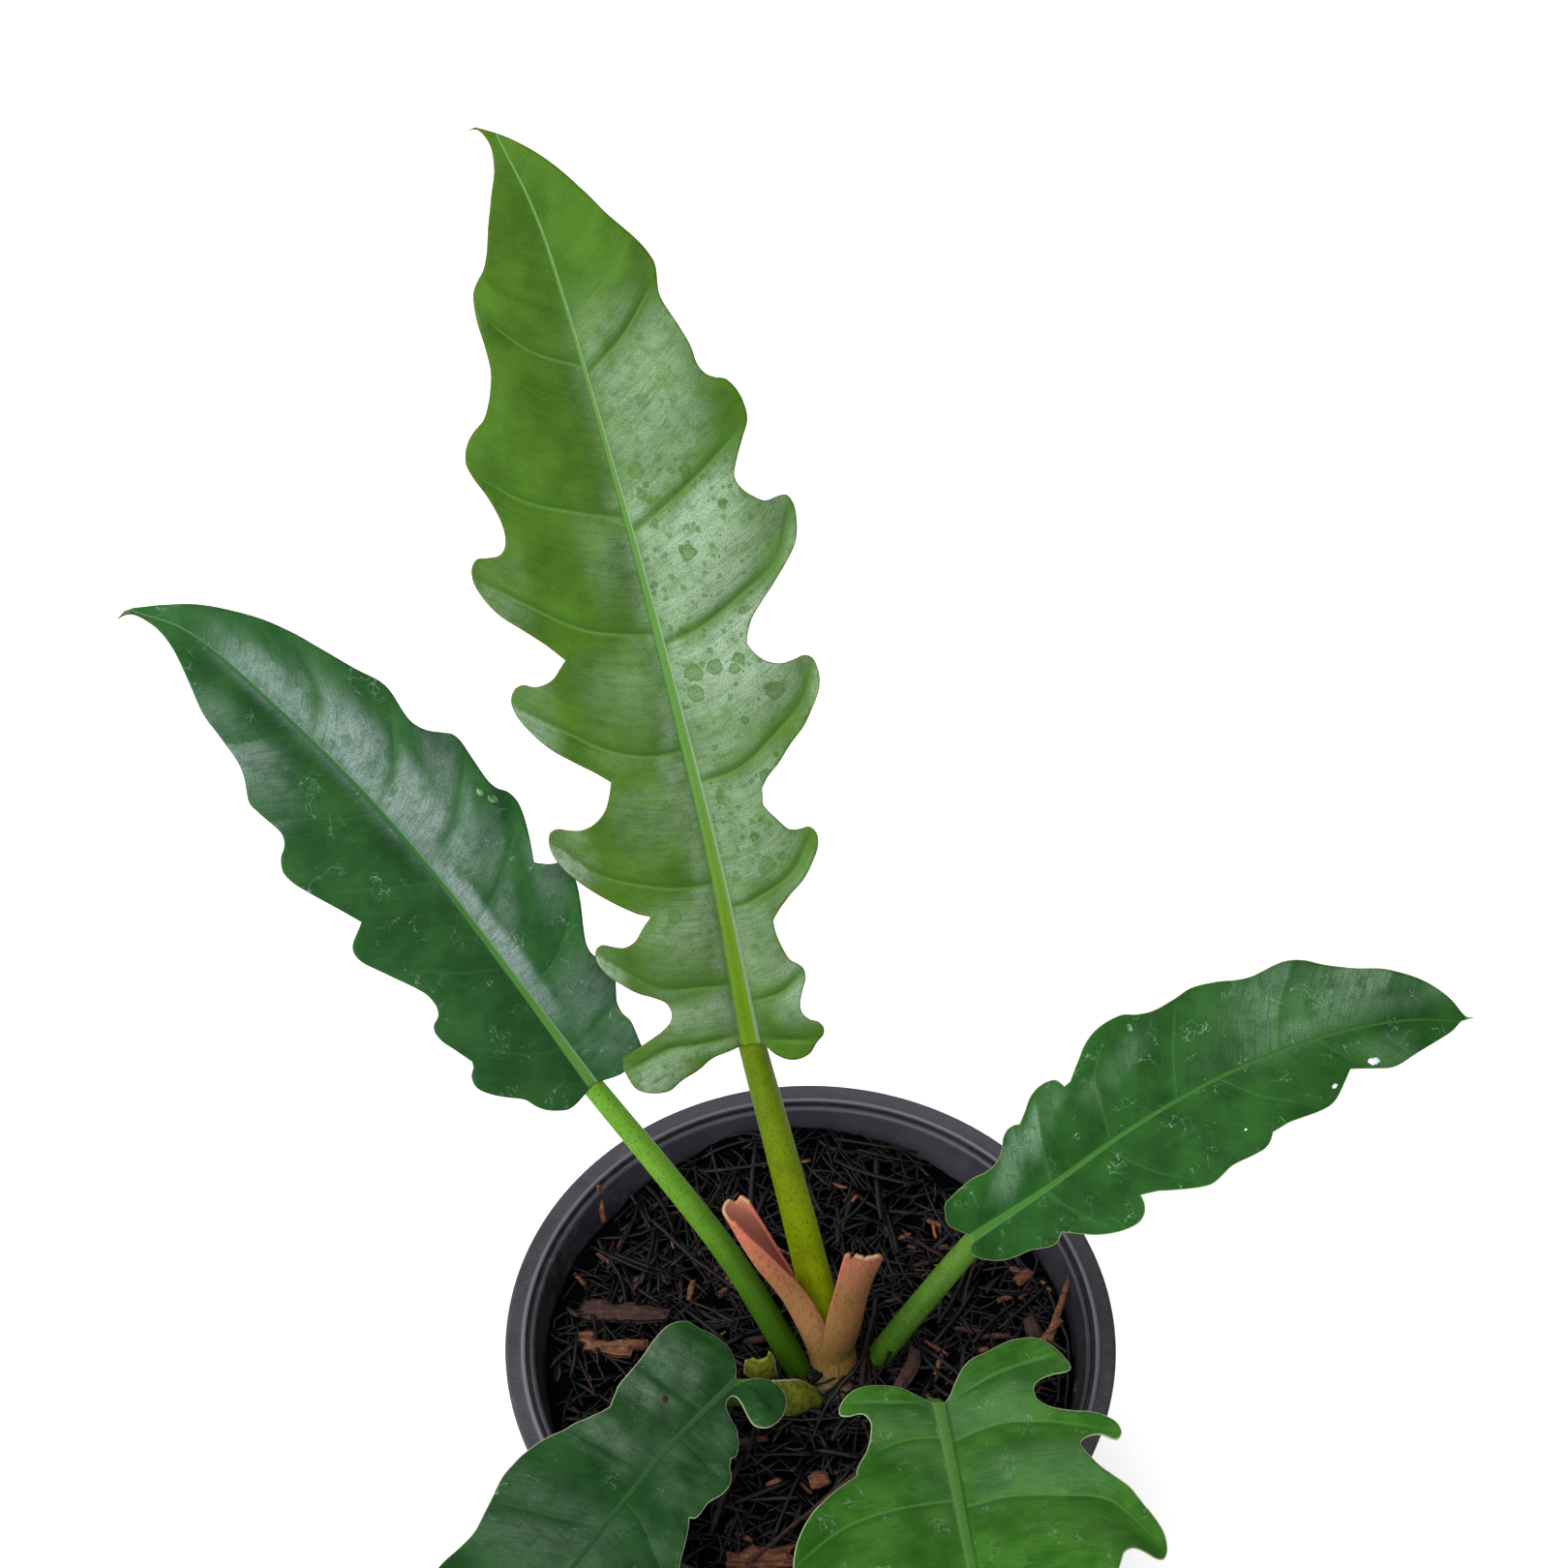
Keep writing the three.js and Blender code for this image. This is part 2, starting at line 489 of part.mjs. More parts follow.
// Fills an anticlockwise outline with even triangles.
function filledOutline(outline, cell) {
  const points = [...outline];
  const faces = THREE.ShapeUtils.triangulateShape(outline, []).map((face) => {
    const [a, b, c] = face;
    return turnOf(points[a], points[b], points[c]) > 0 ? [a, b, c] : [a, c, b];
  });
  for (const point of innerPoints(outline, cell)) {
    const home = faces.findIndex((face) => face.every((corner, place) => (
      turnOf(points[corner], points[face[(place + 1) % 3]], point) > 0
    )));
    if (home >= 0) {
      const [a, b, c] = faces[home];
      const added = points.push(point) - 1;
      faces.splice(home, 1, [a, b, added], [b, c, added], [c, a, added]);
    }
  }
  swapThinPairs(points, faces);
  return { points, faces };
}

// Places a point of the flat blade in space, lifted off the middle of its thickness.
function bladePoint(leaf, curve, flat, lift) {
  const length = curve.getLength();
  const share = THREE.MathUtils.clamp(flat.y / length, 0, 1);
  const along = curve.getTangentAt(share);
  const faces = new THREE.Vector3(...leaf.facesAtStalk).lerp(new THREE.Vector3(...leaf.facesAtTip), share);
  faces.addScaledVector(along, -faces.dot(along)).normalize();
  const across = new THREE.Vector3().crossVectors(along, faces);
  const fold = THREE.MathUtils.degToRad(leaf.foldDegrees);
  const reach = flat.x;
  const rise = Math.abs(reach) * Math.sin(fold) - leaf.curl * reach * reach;
  return curve.getPointAt(share)
    .addScaledVector(across, reach * Math.cos(fold))
    .addScaledVector(faces, rise + lift)
    .addScaledVector(along, flat.y - share * length);
}

// A thin plate: the flat faces above and below, and a strip round the outline.
function plateGeometry(flat, border, place) {
  const count = flat.points.length;
  const top = flat.points.map((point) => place(point, BLADE_THICKNESS / 2));
  const bottom = flat.points.map((point) => place(point, -BLADE_THICKNESS / 2));
  const faces = [];
  for (const [a, b, c] of flat.faces) {
    faces.push([a, b, c], [count + a, count + c, count + b]);
  }
  for (let start = 0; start < border; start += 1) {
    const end = (start + 1) % border;
    faces.push([end, start, count + start], [end, count + start, count + end]);
  }
  return indexedGeometry([...top, ...bottom], faces);
}

function bladeGeometry(name) {
  const leaf = leafShapes[name];
  const curve = smoothCurve(leaf.midrib);
  const outline = outlinePoints(leaf);
  const flat = filledOutline(outline, BLADE_CELL);
  const plate = plateGeometry(flat, outline.length, (point, lift) => bladePoint(leaf, curve, point, lift));
  const stalks = Object.values(stalkShapes).map((shape) => stalkGeometry(shape, GAP));
  return cutBy(plate, stalks);
}

// Sheaths

// A curved sheet of even thickness. Middle gives a point of its middle surface from two shares, one
// across and one along, and outward gives the way its outer face looks there.
function sheetGeometry(middle, outward, acrossSteps, alongSteps) {
  const rows = alongSteps + 1;
  const columns = acrossSteps + 1;
  const half = rows * columns;
  const points = [];
  for (const side of [0.5, -0.5]) {
    for (let row = 0; row < rows; row += 1) {
      for (let column = 0; column < columns; column += 1) {
        const across = column / acrossSteps;
        const along = row / alongSteps;
        const point = middle(across, along);
        points.push(point.addScaledVector(outward(across, along), side * SHEATH_THICKNESS));
      }
    }
  }
  const faces = [];
  const quad = (a, b, c, d) => faces.push([a, c, b], [a, d, c]);
  for (let row = 0; row < alongSteps; row += 1) {
    for (let column = 0; column < acrossSteps; column += 1) {
      const corner = row * columns + column;
      quad(corner, corner + 1, corner + columns + 1, corner + columns);
      quad(half + corner, half + corner + columns, half + corner + columns + 1, half + corner + 1);
    }
    const left = row * columns;
    const right = left + acrossSteps;
    quad(left, left + columns, half + left + columns, half + left);
    quad(right + columns, right, half + right, half + right + columns);
  }
  for (let column = 0; column < acrossSteps; column += 1) {
    const high = alongSteps * columns + column;
    quad(column + 1, column, half + column, half + column + 1);
    quad(high, high + 1, half + high + 1, half + high);
  }
  return indexedGeometry(points, faces);
}

// The value of an evenly spaced list at a share of the way along it.
function valueAt(list, share) {
  const place = share * (list.length - 1);
  const start = Math.min(Math.floor(place), list.length - 2);
  return THREE.MathUtils.lerp(list[start], list[start + 1], place - start);
}

// A trough round a curve. Angles are seen from the tip of the curve, in degrees from the right of the
// plant, with 90 at its front. The lists run from the foot of the trough to its tip.
function troughGeometry(shape, acrossSteps, alongSteps) {
  const curve = smoothCurve(shape.path);
  const outward = (across, share) => {
    const direction = curve.getTangentAt(share);
    const front = new THREE.Vector3(0, -1, 0).addScaledVector(direction, direction.y).normalize();
    const right = new THREE.Vector3().crossVectors(direction, front);
    const first = valueAt(shape.firstAngle, share);
    const last = valueAt(shape.lastAngle, share);
    const angle = THREE.MathUtils.degToRad(THREE.MathUtils.lerp(first, last, across));
    return right.multiplyScalar(Math.cos(angle)).addScaledVector(front, Math.sin(angle));
  };
  const middle = (across, share) => (
    curve.getPointAt(share).addScaledVector(outward(across, share), valueAt(shape.radius, share))
  );
  return sheetGeometry(middle, outward, acrossSteps, alongSteps);
}

// The block of space under the sheaths, which stand just clear of the mix.
function belowSheaths() {
  const depth = 20;
  const block = new THREE.BoxGeometry(RIM_RADIUS, RIM_RADIUS, depth);
  block.translate(0, 0, SOIL_HEIGHT + GAP - depth / 2);
  return block;
}

const cataphyllArms = {
  left: {
    path: [[6.4, 0.6, 109], [4.8, 3.6, 117], [-1.4, 6, 130.9], [-9.5, 7, 149.2], [-17.4, 8, 170.3]],
    radius: [6, 6.5, 5.1, 3.9, 3.3],
    firstAngle: [100, 105, 97, 80, 130],
    lastAngle: [200, 200, 235, 345, 345],
  },
  right: {
    path: [[6.4, 0.6, 109], [4.8, 3.6, 117], [8.6, 3, 133.6], [10.8, 1.5, 147.1], [12.6, 0, 159.1]],
    radius: [6.2, 6.7, 4, 3.5, 3.9],
    firstAngle: [-60, -60, -50, -40, -30],
    lastAngle: [118, 114, 160, 175, 190],
  },
};

function cataphyllGeometry() {
  const arms = Object.values(cataphyllArms).map((shape) => troughGeometry(shape, 10, 12));
  const both = joined(...arms);
  const stalks = Object.values(stalkShapes).map((shape) => stalkGeometry(shape, GAP));
  return cutBy(both, [belowSheaths(), crownGeometry(GAP), ...stalks]);
}

const sheathShape = {
  path: [[-2.5, -8.6, 112.2], [-5.5, -10.7, 114.4], [-11.2, -12.5, 118.1]],
  radius: [4.9, 5.1, 4.4],
  firstAngle: [-30, -30, -20],
  lastAngle: [150, 150, 150],
};

function sheathGeometry() {
  const stalks = Object.values(stalkShapes).map((shape) => stalkGeometry(shape, GAP));
  const cutters = [belowSheaths(), crownGeometry(GAP), cataphyllGeometry(), ...stalks];
  return cutBy(troughGeometry(sheathShape, 10, 6), cutters);
}

// Bits of bark and wood

// A split chip lying flat: its top is smaller than its foot, and one end is narrower.
function chipGeometry([length, width, thickness]) {
  const outline = new THREE.Shape([
    new THREE.Vector2(-length / 2, -width * 0.38),
    new THREE.Vector2(-length * 0.1, -width / 2),
    new THREE.Vector2(length / 2, -width * 0.42),
    new THREE.Vector2(length * 0.46, width * 0.3),
    new THREE.Vector2(length * 0.05, width / 2),
    new THREE.Vector2(-length * 0.46, width * 0.36),
  ]);
  return new THREE.ExtrudeGeometry(outline, { depth: thickness, bevelEnabled: false });
}

const chips = {
  bark_red: { size: [23, 6, 2.8], at: [-46.5, 12.5], turn: -4, colour: colours.redBark },
  wood_orange: { size: [18, 4.4, 2.2], at: [-49, 1.8], turn: -3, colour: colours.orangeWood },
  chip_brown: { size: [12, 5, 2], at: [26, -1.5], turn: 68, colour: colours.brownWood },
  chip_square: { size: [5.2, 4.6, 2], at: [1.9, -33.5], turn: 20, colour: colours.orangeWood },
  chip_right: { size: [6.5, 4, 2.4], at: [55.5, 8.5], turn: 10, colour: colours.brownWood },
  chip_back: { size: [5.5, 3.2, 1.8], at: [54, 23.5], turn: 40, colour: colours.redBark },
  wood_front: { size: [17, 6, 3], at: [-12, -54.5], turn: 4, colour: colours.tanWood },
};

function chipMesh(name) {
  const { size, at, turn, colour } = chips[name];
  const mesh = namedMesh(name, chipGeometry(size), colour, 0.85);
  mesh.position.set(at[0], at[1], SOIL_HEIGHT + GAP);
  mesh.rotation.z = THREE.MathUtils.degToRad(turn);
  return mesh;
}

const sticks = {
  stick_right: { from: [59.5, 5, 114.2], to: [64.3, 17.5, 120.5], radius: 1, colour: colours.tanWood },
  twig_front: { from: [12, -30.5, 113.2], to: [-15.5, -58, 117.6], radius: 0.7, colour: colours.redBark },
};

function stickMesh(name) {
  const { from, to, radius, colour } = sticks[name];
  const path = new THREE.LineCurve3(new THREE.Vector3(...from), new THREE.Vector3(...to));
  const section = new THREE.Shape().absarc(0, 0, radius, 0, 2 * Math.PI);
  const geometry = new THREE.ExtrudeGeometry(section, { extrudePath: path, steps: 4, curveSegments: 4 });
  return namedMesh(name, geometry, colour, 0.8);
}

// Assembly

function namedMesh(name, geometry, colour, roughness) {
  const material = new THREE.MeshStandardMaterial({ color: colour, roughness, metalness: 0 });
  const mesh = new THREE.Mesh(geometry, material);
  mesh.name = name;
  return mesh;
}

const stalkColours = {
  petiole_tall: colours.tallStalk,
  petiole_left: colours.leftStalk,
  petiole_right: colours.rightStalk,
  petiole_front_left: colours.frontStalk,
  petiole_front_right: colours.frontStalk,
};

const bladeColours = {
  leaf_tall: colours.tallLeaf,
  leaf_left: colours.leftLeaf,
  leaf_right: colours.rightLeaf,
  leaf_front_left: colours.frontLeftLeaf,
  leaf_front_right: colours.frontRightLeaf,
};

const group = new THREE.Group();
group.add(namedMesh('pot', potGeometry(), colours.pot, 0.5));
group.add(namedMesh('potting_mix', soilGeometry(), colours.soil, 0.9));
group.add(namedMesh('crown', crownGeometry(), colours.crown, 0.7));
for (const [name, colour] of Object.entries(stalkColours)) {
  group.add(namedMesh(name, petioleGeometry(name), colour, 0.45));
}
for (const [name, colour] of Object.entries(bladeColours)) {
  group.add(namedMesh(name, bladeGeometry(name), colour, 0.35));
}
group.add(namedMesh('cataphyll', cataphyllGeometry(), colours.cataphyll, 0.6));
group.add(namedMesh('leaf_sheath', sheathGeometry(), colours.sheath, 0.55));
for (const name of Object.keys(chips)) {
  group.add(chipMesh(name));
}
for (const name of Object.keys(sticks)) {
  group.add(stickMesh(name));
}

export default group;
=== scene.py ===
import math

import bmesh
import bpy
import numpy as np
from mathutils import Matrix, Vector
from mathutils.geometry import delaunay_2d_cdt


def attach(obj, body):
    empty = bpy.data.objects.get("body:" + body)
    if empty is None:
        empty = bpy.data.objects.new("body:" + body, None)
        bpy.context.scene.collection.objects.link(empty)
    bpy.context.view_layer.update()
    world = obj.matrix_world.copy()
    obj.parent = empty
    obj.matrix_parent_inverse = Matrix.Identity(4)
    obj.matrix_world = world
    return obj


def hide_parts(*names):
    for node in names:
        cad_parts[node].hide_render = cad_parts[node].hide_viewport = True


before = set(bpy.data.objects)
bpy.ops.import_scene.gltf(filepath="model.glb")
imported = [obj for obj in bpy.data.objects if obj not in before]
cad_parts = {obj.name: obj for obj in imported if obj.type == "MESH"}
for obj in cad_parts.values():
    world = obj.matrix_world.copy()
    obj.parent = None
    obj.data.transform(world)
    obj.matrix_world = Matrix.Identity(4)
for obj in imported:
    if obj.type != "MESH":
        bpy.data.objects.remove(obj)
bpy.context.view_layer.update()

# A philodendron with five long, wavy-lobed leaves in a black nursery pot.
# Shapes are worked out in millimetres, like the frame's own solids, and written in metres.
MM = 0.001
SEED = 41

# Driving sizes, in millimetres, the same as in the frame
POT_HEIGHT = 125
RIM_RADIUS = 75
SKIRT_DROP = 13.5
BASE_RADIUS = 52
SOIL_LINE_RADIUS = 65.2
WALL = 1.4
FLOOR = 1.8
DRAIN_HOLES = 8
DRAIN_HOLE_RADIUS = 4.5
DRAIN_RING_RADIUS = 40
SOIL_HEIGHT = 112
GAP = 0.3

# Finer sizes that only show in the finished surfaces
POT_SIDES = 192
BLADE_CELL = 0.8
BLADE_THICKNESS = 0.55
MIDRIB_SAMPLES = 400
MARGIN_STEP = 0.9
MARGIN_GAP = 0.35
STALK_SIDES = 40
STALK_RINGS = 150
SOIL_CELL = 1.0
CHIP_CELL = 0.35
SHEATH_THICKNESS = 0.8
BEAD_DEPTH = 0.15
BLADE_UV_SIDE = 240

# The photograph's camera, in millimetres and degrees
CAMERA_PLACE = (-6.5, -445.6, 869.1)
CAMERA_PITCH = 50.09
CAMERA_LENS = 80
CAMERA_SENSOR = 36

# The light: a sky that is brightest in one direction, and a softbox in metres and watts
SKY_BRIGHTEST = (-0.6, -0.4, 0.68)
SKY_DIM = 0.5
SKY_BRIGHT = 3.4
LIGHT_LEVEL = 1.8
KEY_PLACE = (-1.0, -0.7, 1.3)
KEY_TARGET = (0, 0, 0.18)
KEY_SIZE = 0.9
KEY_POWER = 9
FLOOR_SIDE = 12000

# Each blade lies on its midrib, a curve of points from the stalk to the tip. It faces one way at the
# stalk and another at the tip, its two halves rise from the midrib by the fold angle, and they droop
# again by curl times the square of the reach. An outline point is [reach, station]: how far it is out
# from the midrib, and how far it is along it. Each stroke of an outline runs smoothly to the next
# notch, and left and right are as seen with the tip up and the upper face in view.
LEAF_SHAPES = {
    "leaf_tall": {
        "midrib": [
            [-14.5, 44, 187.5], [-22, 62.5, 228.5], [-30.5, 81, 263], [-38, 97.5, 290],
            [-47, 117, 318], [-57, 139, 345.5], [-62.5, 149.5, 357.5], [-70, 160.5, 368],
        ],
        "faces_at_stalk": [0.1, -0.85, 0.5],
        "faces_at_tip": [0.1, -0.85, 0.5],
        "fold_degrees": 13,
        "curl": 0.003,
        "left": [
            [[0, -0.5], [6, -1], [10, -1.5], [14, -3.5], [18.5, -5], [22, -6.8], [27, -6.2], [30, -4.5],
             [31.5, -1], [32.5, 3.2]],
            [[29, 5], [25, 7], [21, 9.3], [18.5, 11.5], [17.7, 14], [18.5, 16.5], [21, 18.5], [24.5, 20.8],
             [28, 24], [31.5, 28], [33, 31.5], [32.5, 34], [30.8, 35], [28.5, 34.2], [26, 33.6], [23, 35],
             [20.5, 38], [18, 40.2]],
            [[21, 42], [25, 45.5], [29.5, 50], [33.5, 55], [36.5, 60], [37.5, 64], [36.5, 67], [34.5, 67.6],
             [32, 66.7], [29, 66.3], [25.5, 67.5], [22.5, 70], [20.5, 73.5], [19.5, 76]],
            [[22.5, 79.2], [27, 83.3], [31, 87.2], [34.5, 92], [37, 97], [37.3, 100.5], [35.5, 103.2],
             [33.5, 103.7], [31, 102.6], [28, 103], [26, 104], [24.5, 105.5], [22.5, 107.2]],
            [[26, 112], [30, 116.5], [34.5, 121.5], [37, 126], [38.2, 130], [37.8, 133], [36, 135],
             [33, 134.7], [30.5, 134.8], [28.8, 136.5], [28, 139.5], [28.2, 143], [29.5, 148], [31.5, 153],
             [32.2, 156.5], [31, 160], [28.5, 162.8], [25.5, 164.8], [23.3, 168], [21.5, 172], [20.6, 175],
             [20.3, 180], [20.3, 187.5], [19.2, 192.8], [17.5, 195], [15.5, 197], [13.8, 200], [11.2, 206],
             [7.5, 212.8], [4, 218.2], [2.4, 223.5], [3.5, 227.5], [6.1, 228.2]],
        ],
        "right": [
            [[0, -0.3], [3, -1.5], [5, -4], [7.5, -5.8], [10, -6.4], [13.5, -5.4], [16, -2.5], [18, -0.5],
             [18.2, 1.5], [17, 3.5], [15.5, 4.2], [14, 6], [13.5, 8.5], [14.5, 12], [16, 15.5], [16, 18],
             [14.8, 19.6], [13.3, 20.8], [12, 24], [11, 28.5], [10.8, 32]],
            [[13, 35], [16, 38], [20, 41.5], [23, 45.5], [25, 49], [25.3, 51.5], [24, 53.3], [21, 53.5],
             [19, 54.2], [17, 57], [15, 60], [14.3, 61.5]],
            [[15, 65.5], [17, 68], [20, 70.5], [24, 74.5], [28, 78], [31, 82], [33.8, 87], [34.4, 90],
             [33.8, 93], [32, 94.2], [29.5, 94.2], [26, 94.2], [22.5, 96], [20.5, 98.5], [19.6, 100.5]],
            [[20.3, 102.5], [22, 105.5], [25, 108.5], [29, 112], [33, 116], [36.5, 120.5], [38, 125],
             [38.2, 128.5], [37.2, 130.5], [35, 131], [32, 131], [29.5, 132.8], [27.5, 135], [26.6, 137.8],
             [28, 141], [30.5, 145], [33, 149], [33.3, 152], [32.5, 156], [30.5, 159.2], [28.5, 160],
             [26.5, 161.5], [25.3, 164], [25, 168], [23.7, 173], [22, 178], [21.4, 181], [22.4, 187.2],
             [21.7, 190], [20, 193.5], [17.5, 197.2], [15.2, 200.5], [12.2, 206.2], [6.5, 216.8],
             [2.5, 222.5], [0, 225.2], [-3.5, 228.2]],
        ],
    },
    "leaf_left": {
        "midrib": [
            [-52.5, 34, 184.5], [-68.5, 42.5, 212], [-86.5, 53, 239.5], [-103.5, 63, 260],
            [-123, 74.5, 277], [-140, 84, 288.5], [-153.5, 90, 289.5],
        ],
        "faces_at_stalk": [0.25, -0.6, 0.75],
        "faces_at_tip": [0.1, -0.5, 0.85],
        "fold_degrees": 18,
        "curl": 0.006,
        "left": [
            [[0, -0.5], [2.8, -0.8], [8.7, -0.3], [11.6, 2], [13.7, 4.4], [15.3, 7.3], [16.4, 10.5],
             [20.2, 15.2], [22.2, 17.9], [23.9, 21], [24.3, 23], [23.4, 25.4], [21.8, 26.4], [21.2, 27.6]],
            [[22.8, 33], [23.9, 36.5], [23.9, 39.3], [22.8, 41], [21.2, 41.8], [20, 44], [20, 48.2],
             [21.1, 51.4], [24.6, 58.8], [27.3, 65], [27.4, 67.6], [26.6, 69.4], [25.2, 70.7], [21.4, 73]],
            [[23.1, 77.9], [26.1, 86.4], [27.3, 91], [27.2, 94.5], [25.2, 97.6], [23.1, 98.8], [21.4, 101],
             [21.5, 108], [21.4, 111.4], [19.9, 113.8], [17.8, 116.7], [16.4, 119.6], [14.7, 126.7],
             [13.4, 132.9], [9.9, 140.2], [5.2, 149.1], [1.8, 156.4], [0.8, 161.4], [1.5, 163.1],
             [3.4, 164.4]],
        ],
        "right": [
            [[0, -0.4], [3.6, -1.6], [7.4, -2.4], [11, -1.5], [15, 0.3]],
            [[15.9, 4.5], [16.6, 8.5], [16.1, 11.4], [16.6, 14.4], [18.5, 17.6], [20.3, 20.5], [20.6, 23.5],
             [19.7, 26.3], [18.6, 28.8], [18.6, 31.4], [20.4, 35.5], [23.9, 41.4], [26, 45.5], [27, 49],
             [26.2, 51.6], [24.5, 52.8], [22.8, 54.1], [20.4, 56.6]],
            [[23.1, 61.7], [26, 67.6], [26.6, 70], [26.2, 72.6], [24.5, 75.4], [23.9, 78.5], [24.6, 83.8],
             [25.4, 88.5], [25, 90.5], [23.4, 92.3], [20.7, 95.5], [19.6, 98.5], [19.8, 101.1],
             [21.2, 106.5], [21.2, 109.3], [19.2, 115.2], [16.9, 123.8], [15.4, 130.2], [13.1, 136.7],
             [8.9, 144.9], [4.5, 152.9], [2.4, 158.5], [0.6, 162.6], [-0.7, 164]],
        ],
    },
    "leaf_right": {
        "midrib": [
            [39.5, 12.5, 150], [57, 15.5, 167.5], [75.5, 20, 185.5], [96, 25, 200],
            [119, 30.5, 208], [138.5, 35.5, 207.5], [154, 39, 202.5],
        ],
        "faces_at_stalk": [-0.3, -0.45, 0.85],
        "faces_at_tip": [0, -0.45, 0.9],
        "fold_degrees": 14,
        "curl": 0.003,
        "left": [
            [[0.5, -0.2], [4, -3], [6.3, -4], [8.5, -3.1], [10.6, -1.6], [11.2, 1], [11.8, 5.5], [12, 9],
             [11.5, 12.5], [11.8, 16.5], [13.8, 20.2], [15.8, 22.2], [17, 24.6], [17, 27], [16.4, 28.4]],
            [[18.3, 31.8], [20.3, 35], [21.1, 38.5], [20.8, 41], [19.9, 42.8], [18.5, 43.5], [17.3, 43.9]],
            [[17.4, 45.8], [20, 49.5], [22.5, 53], [24.2, 57], [24.7, 61], [24.2, 64.1], [22.5, 66.6],
             [21.1, 70.3], [21.4, 75.2], [22.1, 79], [20.8, 84.7], [19.4, 88.3], [18.8, 91.5], [19.7, 99],
             [18.9, 102.4], [16.1, 106.9], [13.9, 112.4], [12.6, 119.3], [10, 125.8], [7.8, 130.2],
             [5, 134.9], [2.2, 138], [1.2, 139.2], [1, 142]],
        ],
        "right": [
            [[0.5, -0.3], [1.8, -2], [2.8, -2.4], [4.5, -1.5], [6, 0], [8.8, 4.3], [10, 7.5], [10.6, 10.5],
             [11, 13.5], [12.3, 17], [13.1, 19.5], [12.9, 21.3], [11.4, 23.1]],
            [[14.5, 27.3], [17, 30.8], [19.3, 35.5], [20.3, 39.5], [20.3, 42], [19.3, 44.3], [17.5, 45.7],
             [15.3, 45.9]],
            [[16.8, 50.5], [18.5, 53.8], [21.3, 60], [22.1, 63.3], [21.5, 66.5], [20.7, 69.5], [20.8, 76.3],
             [20.5, 79.6], [19.3, 81.6], [17.8, 82.8]],
            [[17.1, 87.4], [17.1, 95.2], [16.5, 98.2], [15.3, 100.2], [12.5, 102.9], [9.6, 105.5]],
            [[10.8, 111.3], [11.3, 114.7], [11, 117.2], [8.6, 123], [6.9, 126.9], [2.8, 134.7], [0, 138.2],
             [-0.3, 139.5]],
        ],
    },
    "leaf_front_left": {
        "midrib": [
            [-19.5, -14, 125], [-33.5, -34, 132], [-47.5, -57.5, 138], [-60, -79, 142],
            [-78, -103, 134], [-93, -122, 115], [-101, -133, 95],
        ],
        "faces_at_stalk": [0.1, -0.1, 1],
        "faces_at_tip": [-0.3, -0.5, 0.8],
        "fold_degrees": 10,
        "curl": 0.002,
        "left": [
            [[0.8, -2.5], [2.3, -4.7], [4, -6.7], [6.5, -7.8], [9, -7.8], [11.5, -6.8], [13.8, -4.3],
             [15.2, -0.8], [15.5, 2], [15, 5], [13.7, 6.2], [11.7, 6.8], [9.7, 6.1], [7.3, 4.5], [5, 3],
             [3.2, 2.2], [2.3, 2.6], [2.1, 4], [2.8, 6], [4.7, 7.7], [9.3, 10.8], [11.3, 13], [13, 15.3],
             [14.4, 18.5], [14, 20.3]],
            [[15.3, 23], [17.3, 25.4], [18.4, 29], [18, 32], [16.9, 35.5], [17, 39.3], [16.7, 41.3],
             [15.5, 42.1]],
            [[17, 45], [18.3, 48.3], [21, 56], [22.8, 61.5], [23.4, 66.5], [22.5, 70], [20.5, 72]],
            [[21.3, 77], [22.6, 84], [22.8, 89], [21, 92.5], [18.8, 94]],
            [[19, 99], [19.4, 105], [18.5, 110], [16.2, 113.5]],
            [[15.6, 120], [13.4, 129], [10, 139], [6, 149], [2.5, 158], [0.6, 164], [0, 167]],
        ],
        "right": [
            [[0.3, -2.7], [1.7, -4.7], [4, -6.7], [6.3, -8], [10, -8.1], [12.7, -7.7], [15, -6.5],
             [18.7, -5.7], [20.3, -3.3], [21.3, 0.5], [20.8, 6.7], [20, 11.3], [19.2, 17], [19, 22],
             [18, 24.7], [16.8, 28.3]],
            [[17.7, 31.3], [19.7, 35.7], [21.7, 40.7], [24, 45.3], [25.6, 50.5], [26, 56], [25.8, 60],
             [24.5, 66.7], [23.7, 72], [23.2, 76], [23.6, 81], [24.4, 87], [24.2, 91.5], [22.4, 95.5],
             [20.6, 97.5]],
            [[20.6, 103], [20.7, 108.5], [19.2, 113.5], [17, 117]],
            [[15.6, 124], [12.8, 133], [9.3, 143], [5.6, 152], [2.4, 160], [0.6, 165]],
        ],
    },
    "leaf_front_right": {
        "midrib": [
            [30, -25, 138], [32.5, -46, 144], [35.5, -77, 155], [39.5, -104, 158.5],
            [45, -129, 149], [51, -148, 128], [55, -158, 100],
        ],
        "faces_at_stalk": [0, 0.1, 1],
        "faces_at_tip": [0, -1, 0.4],
        "fold_degrees": 9,
        "curl": 0.001,
        "left": [
            [[1.5, 1.8], [3.1, 0], [4.1, -2.1], [5.6, -5], [7.4, -7.9], [9.9, -10.4], [13.4, -11.6],
             [17, -13.1], [19.9, -14.1], [23.4, -14.4], [27, -13.7], [29.9, -11.4], [32, -8.2],
             [33.2, -4.6], [32.9, -1.8], [31.3, -0.5], [28.4, -0.4], [25.6, 0.6], [23.4, 2.9], [22.6, 5.4],
             [23.2, 7.9], [24.9, 9.6], [27.7, 11.1], [31.3, 12.5], [34.9, 13.6], [38.1, 15.4], [40.4, 17.8],
             [41, 20.5], [39.5, 22.1], [38.2, 21.4], [36.6, 20], [34.1, 19.4], [32, 20.4], [30.8, 22.3],
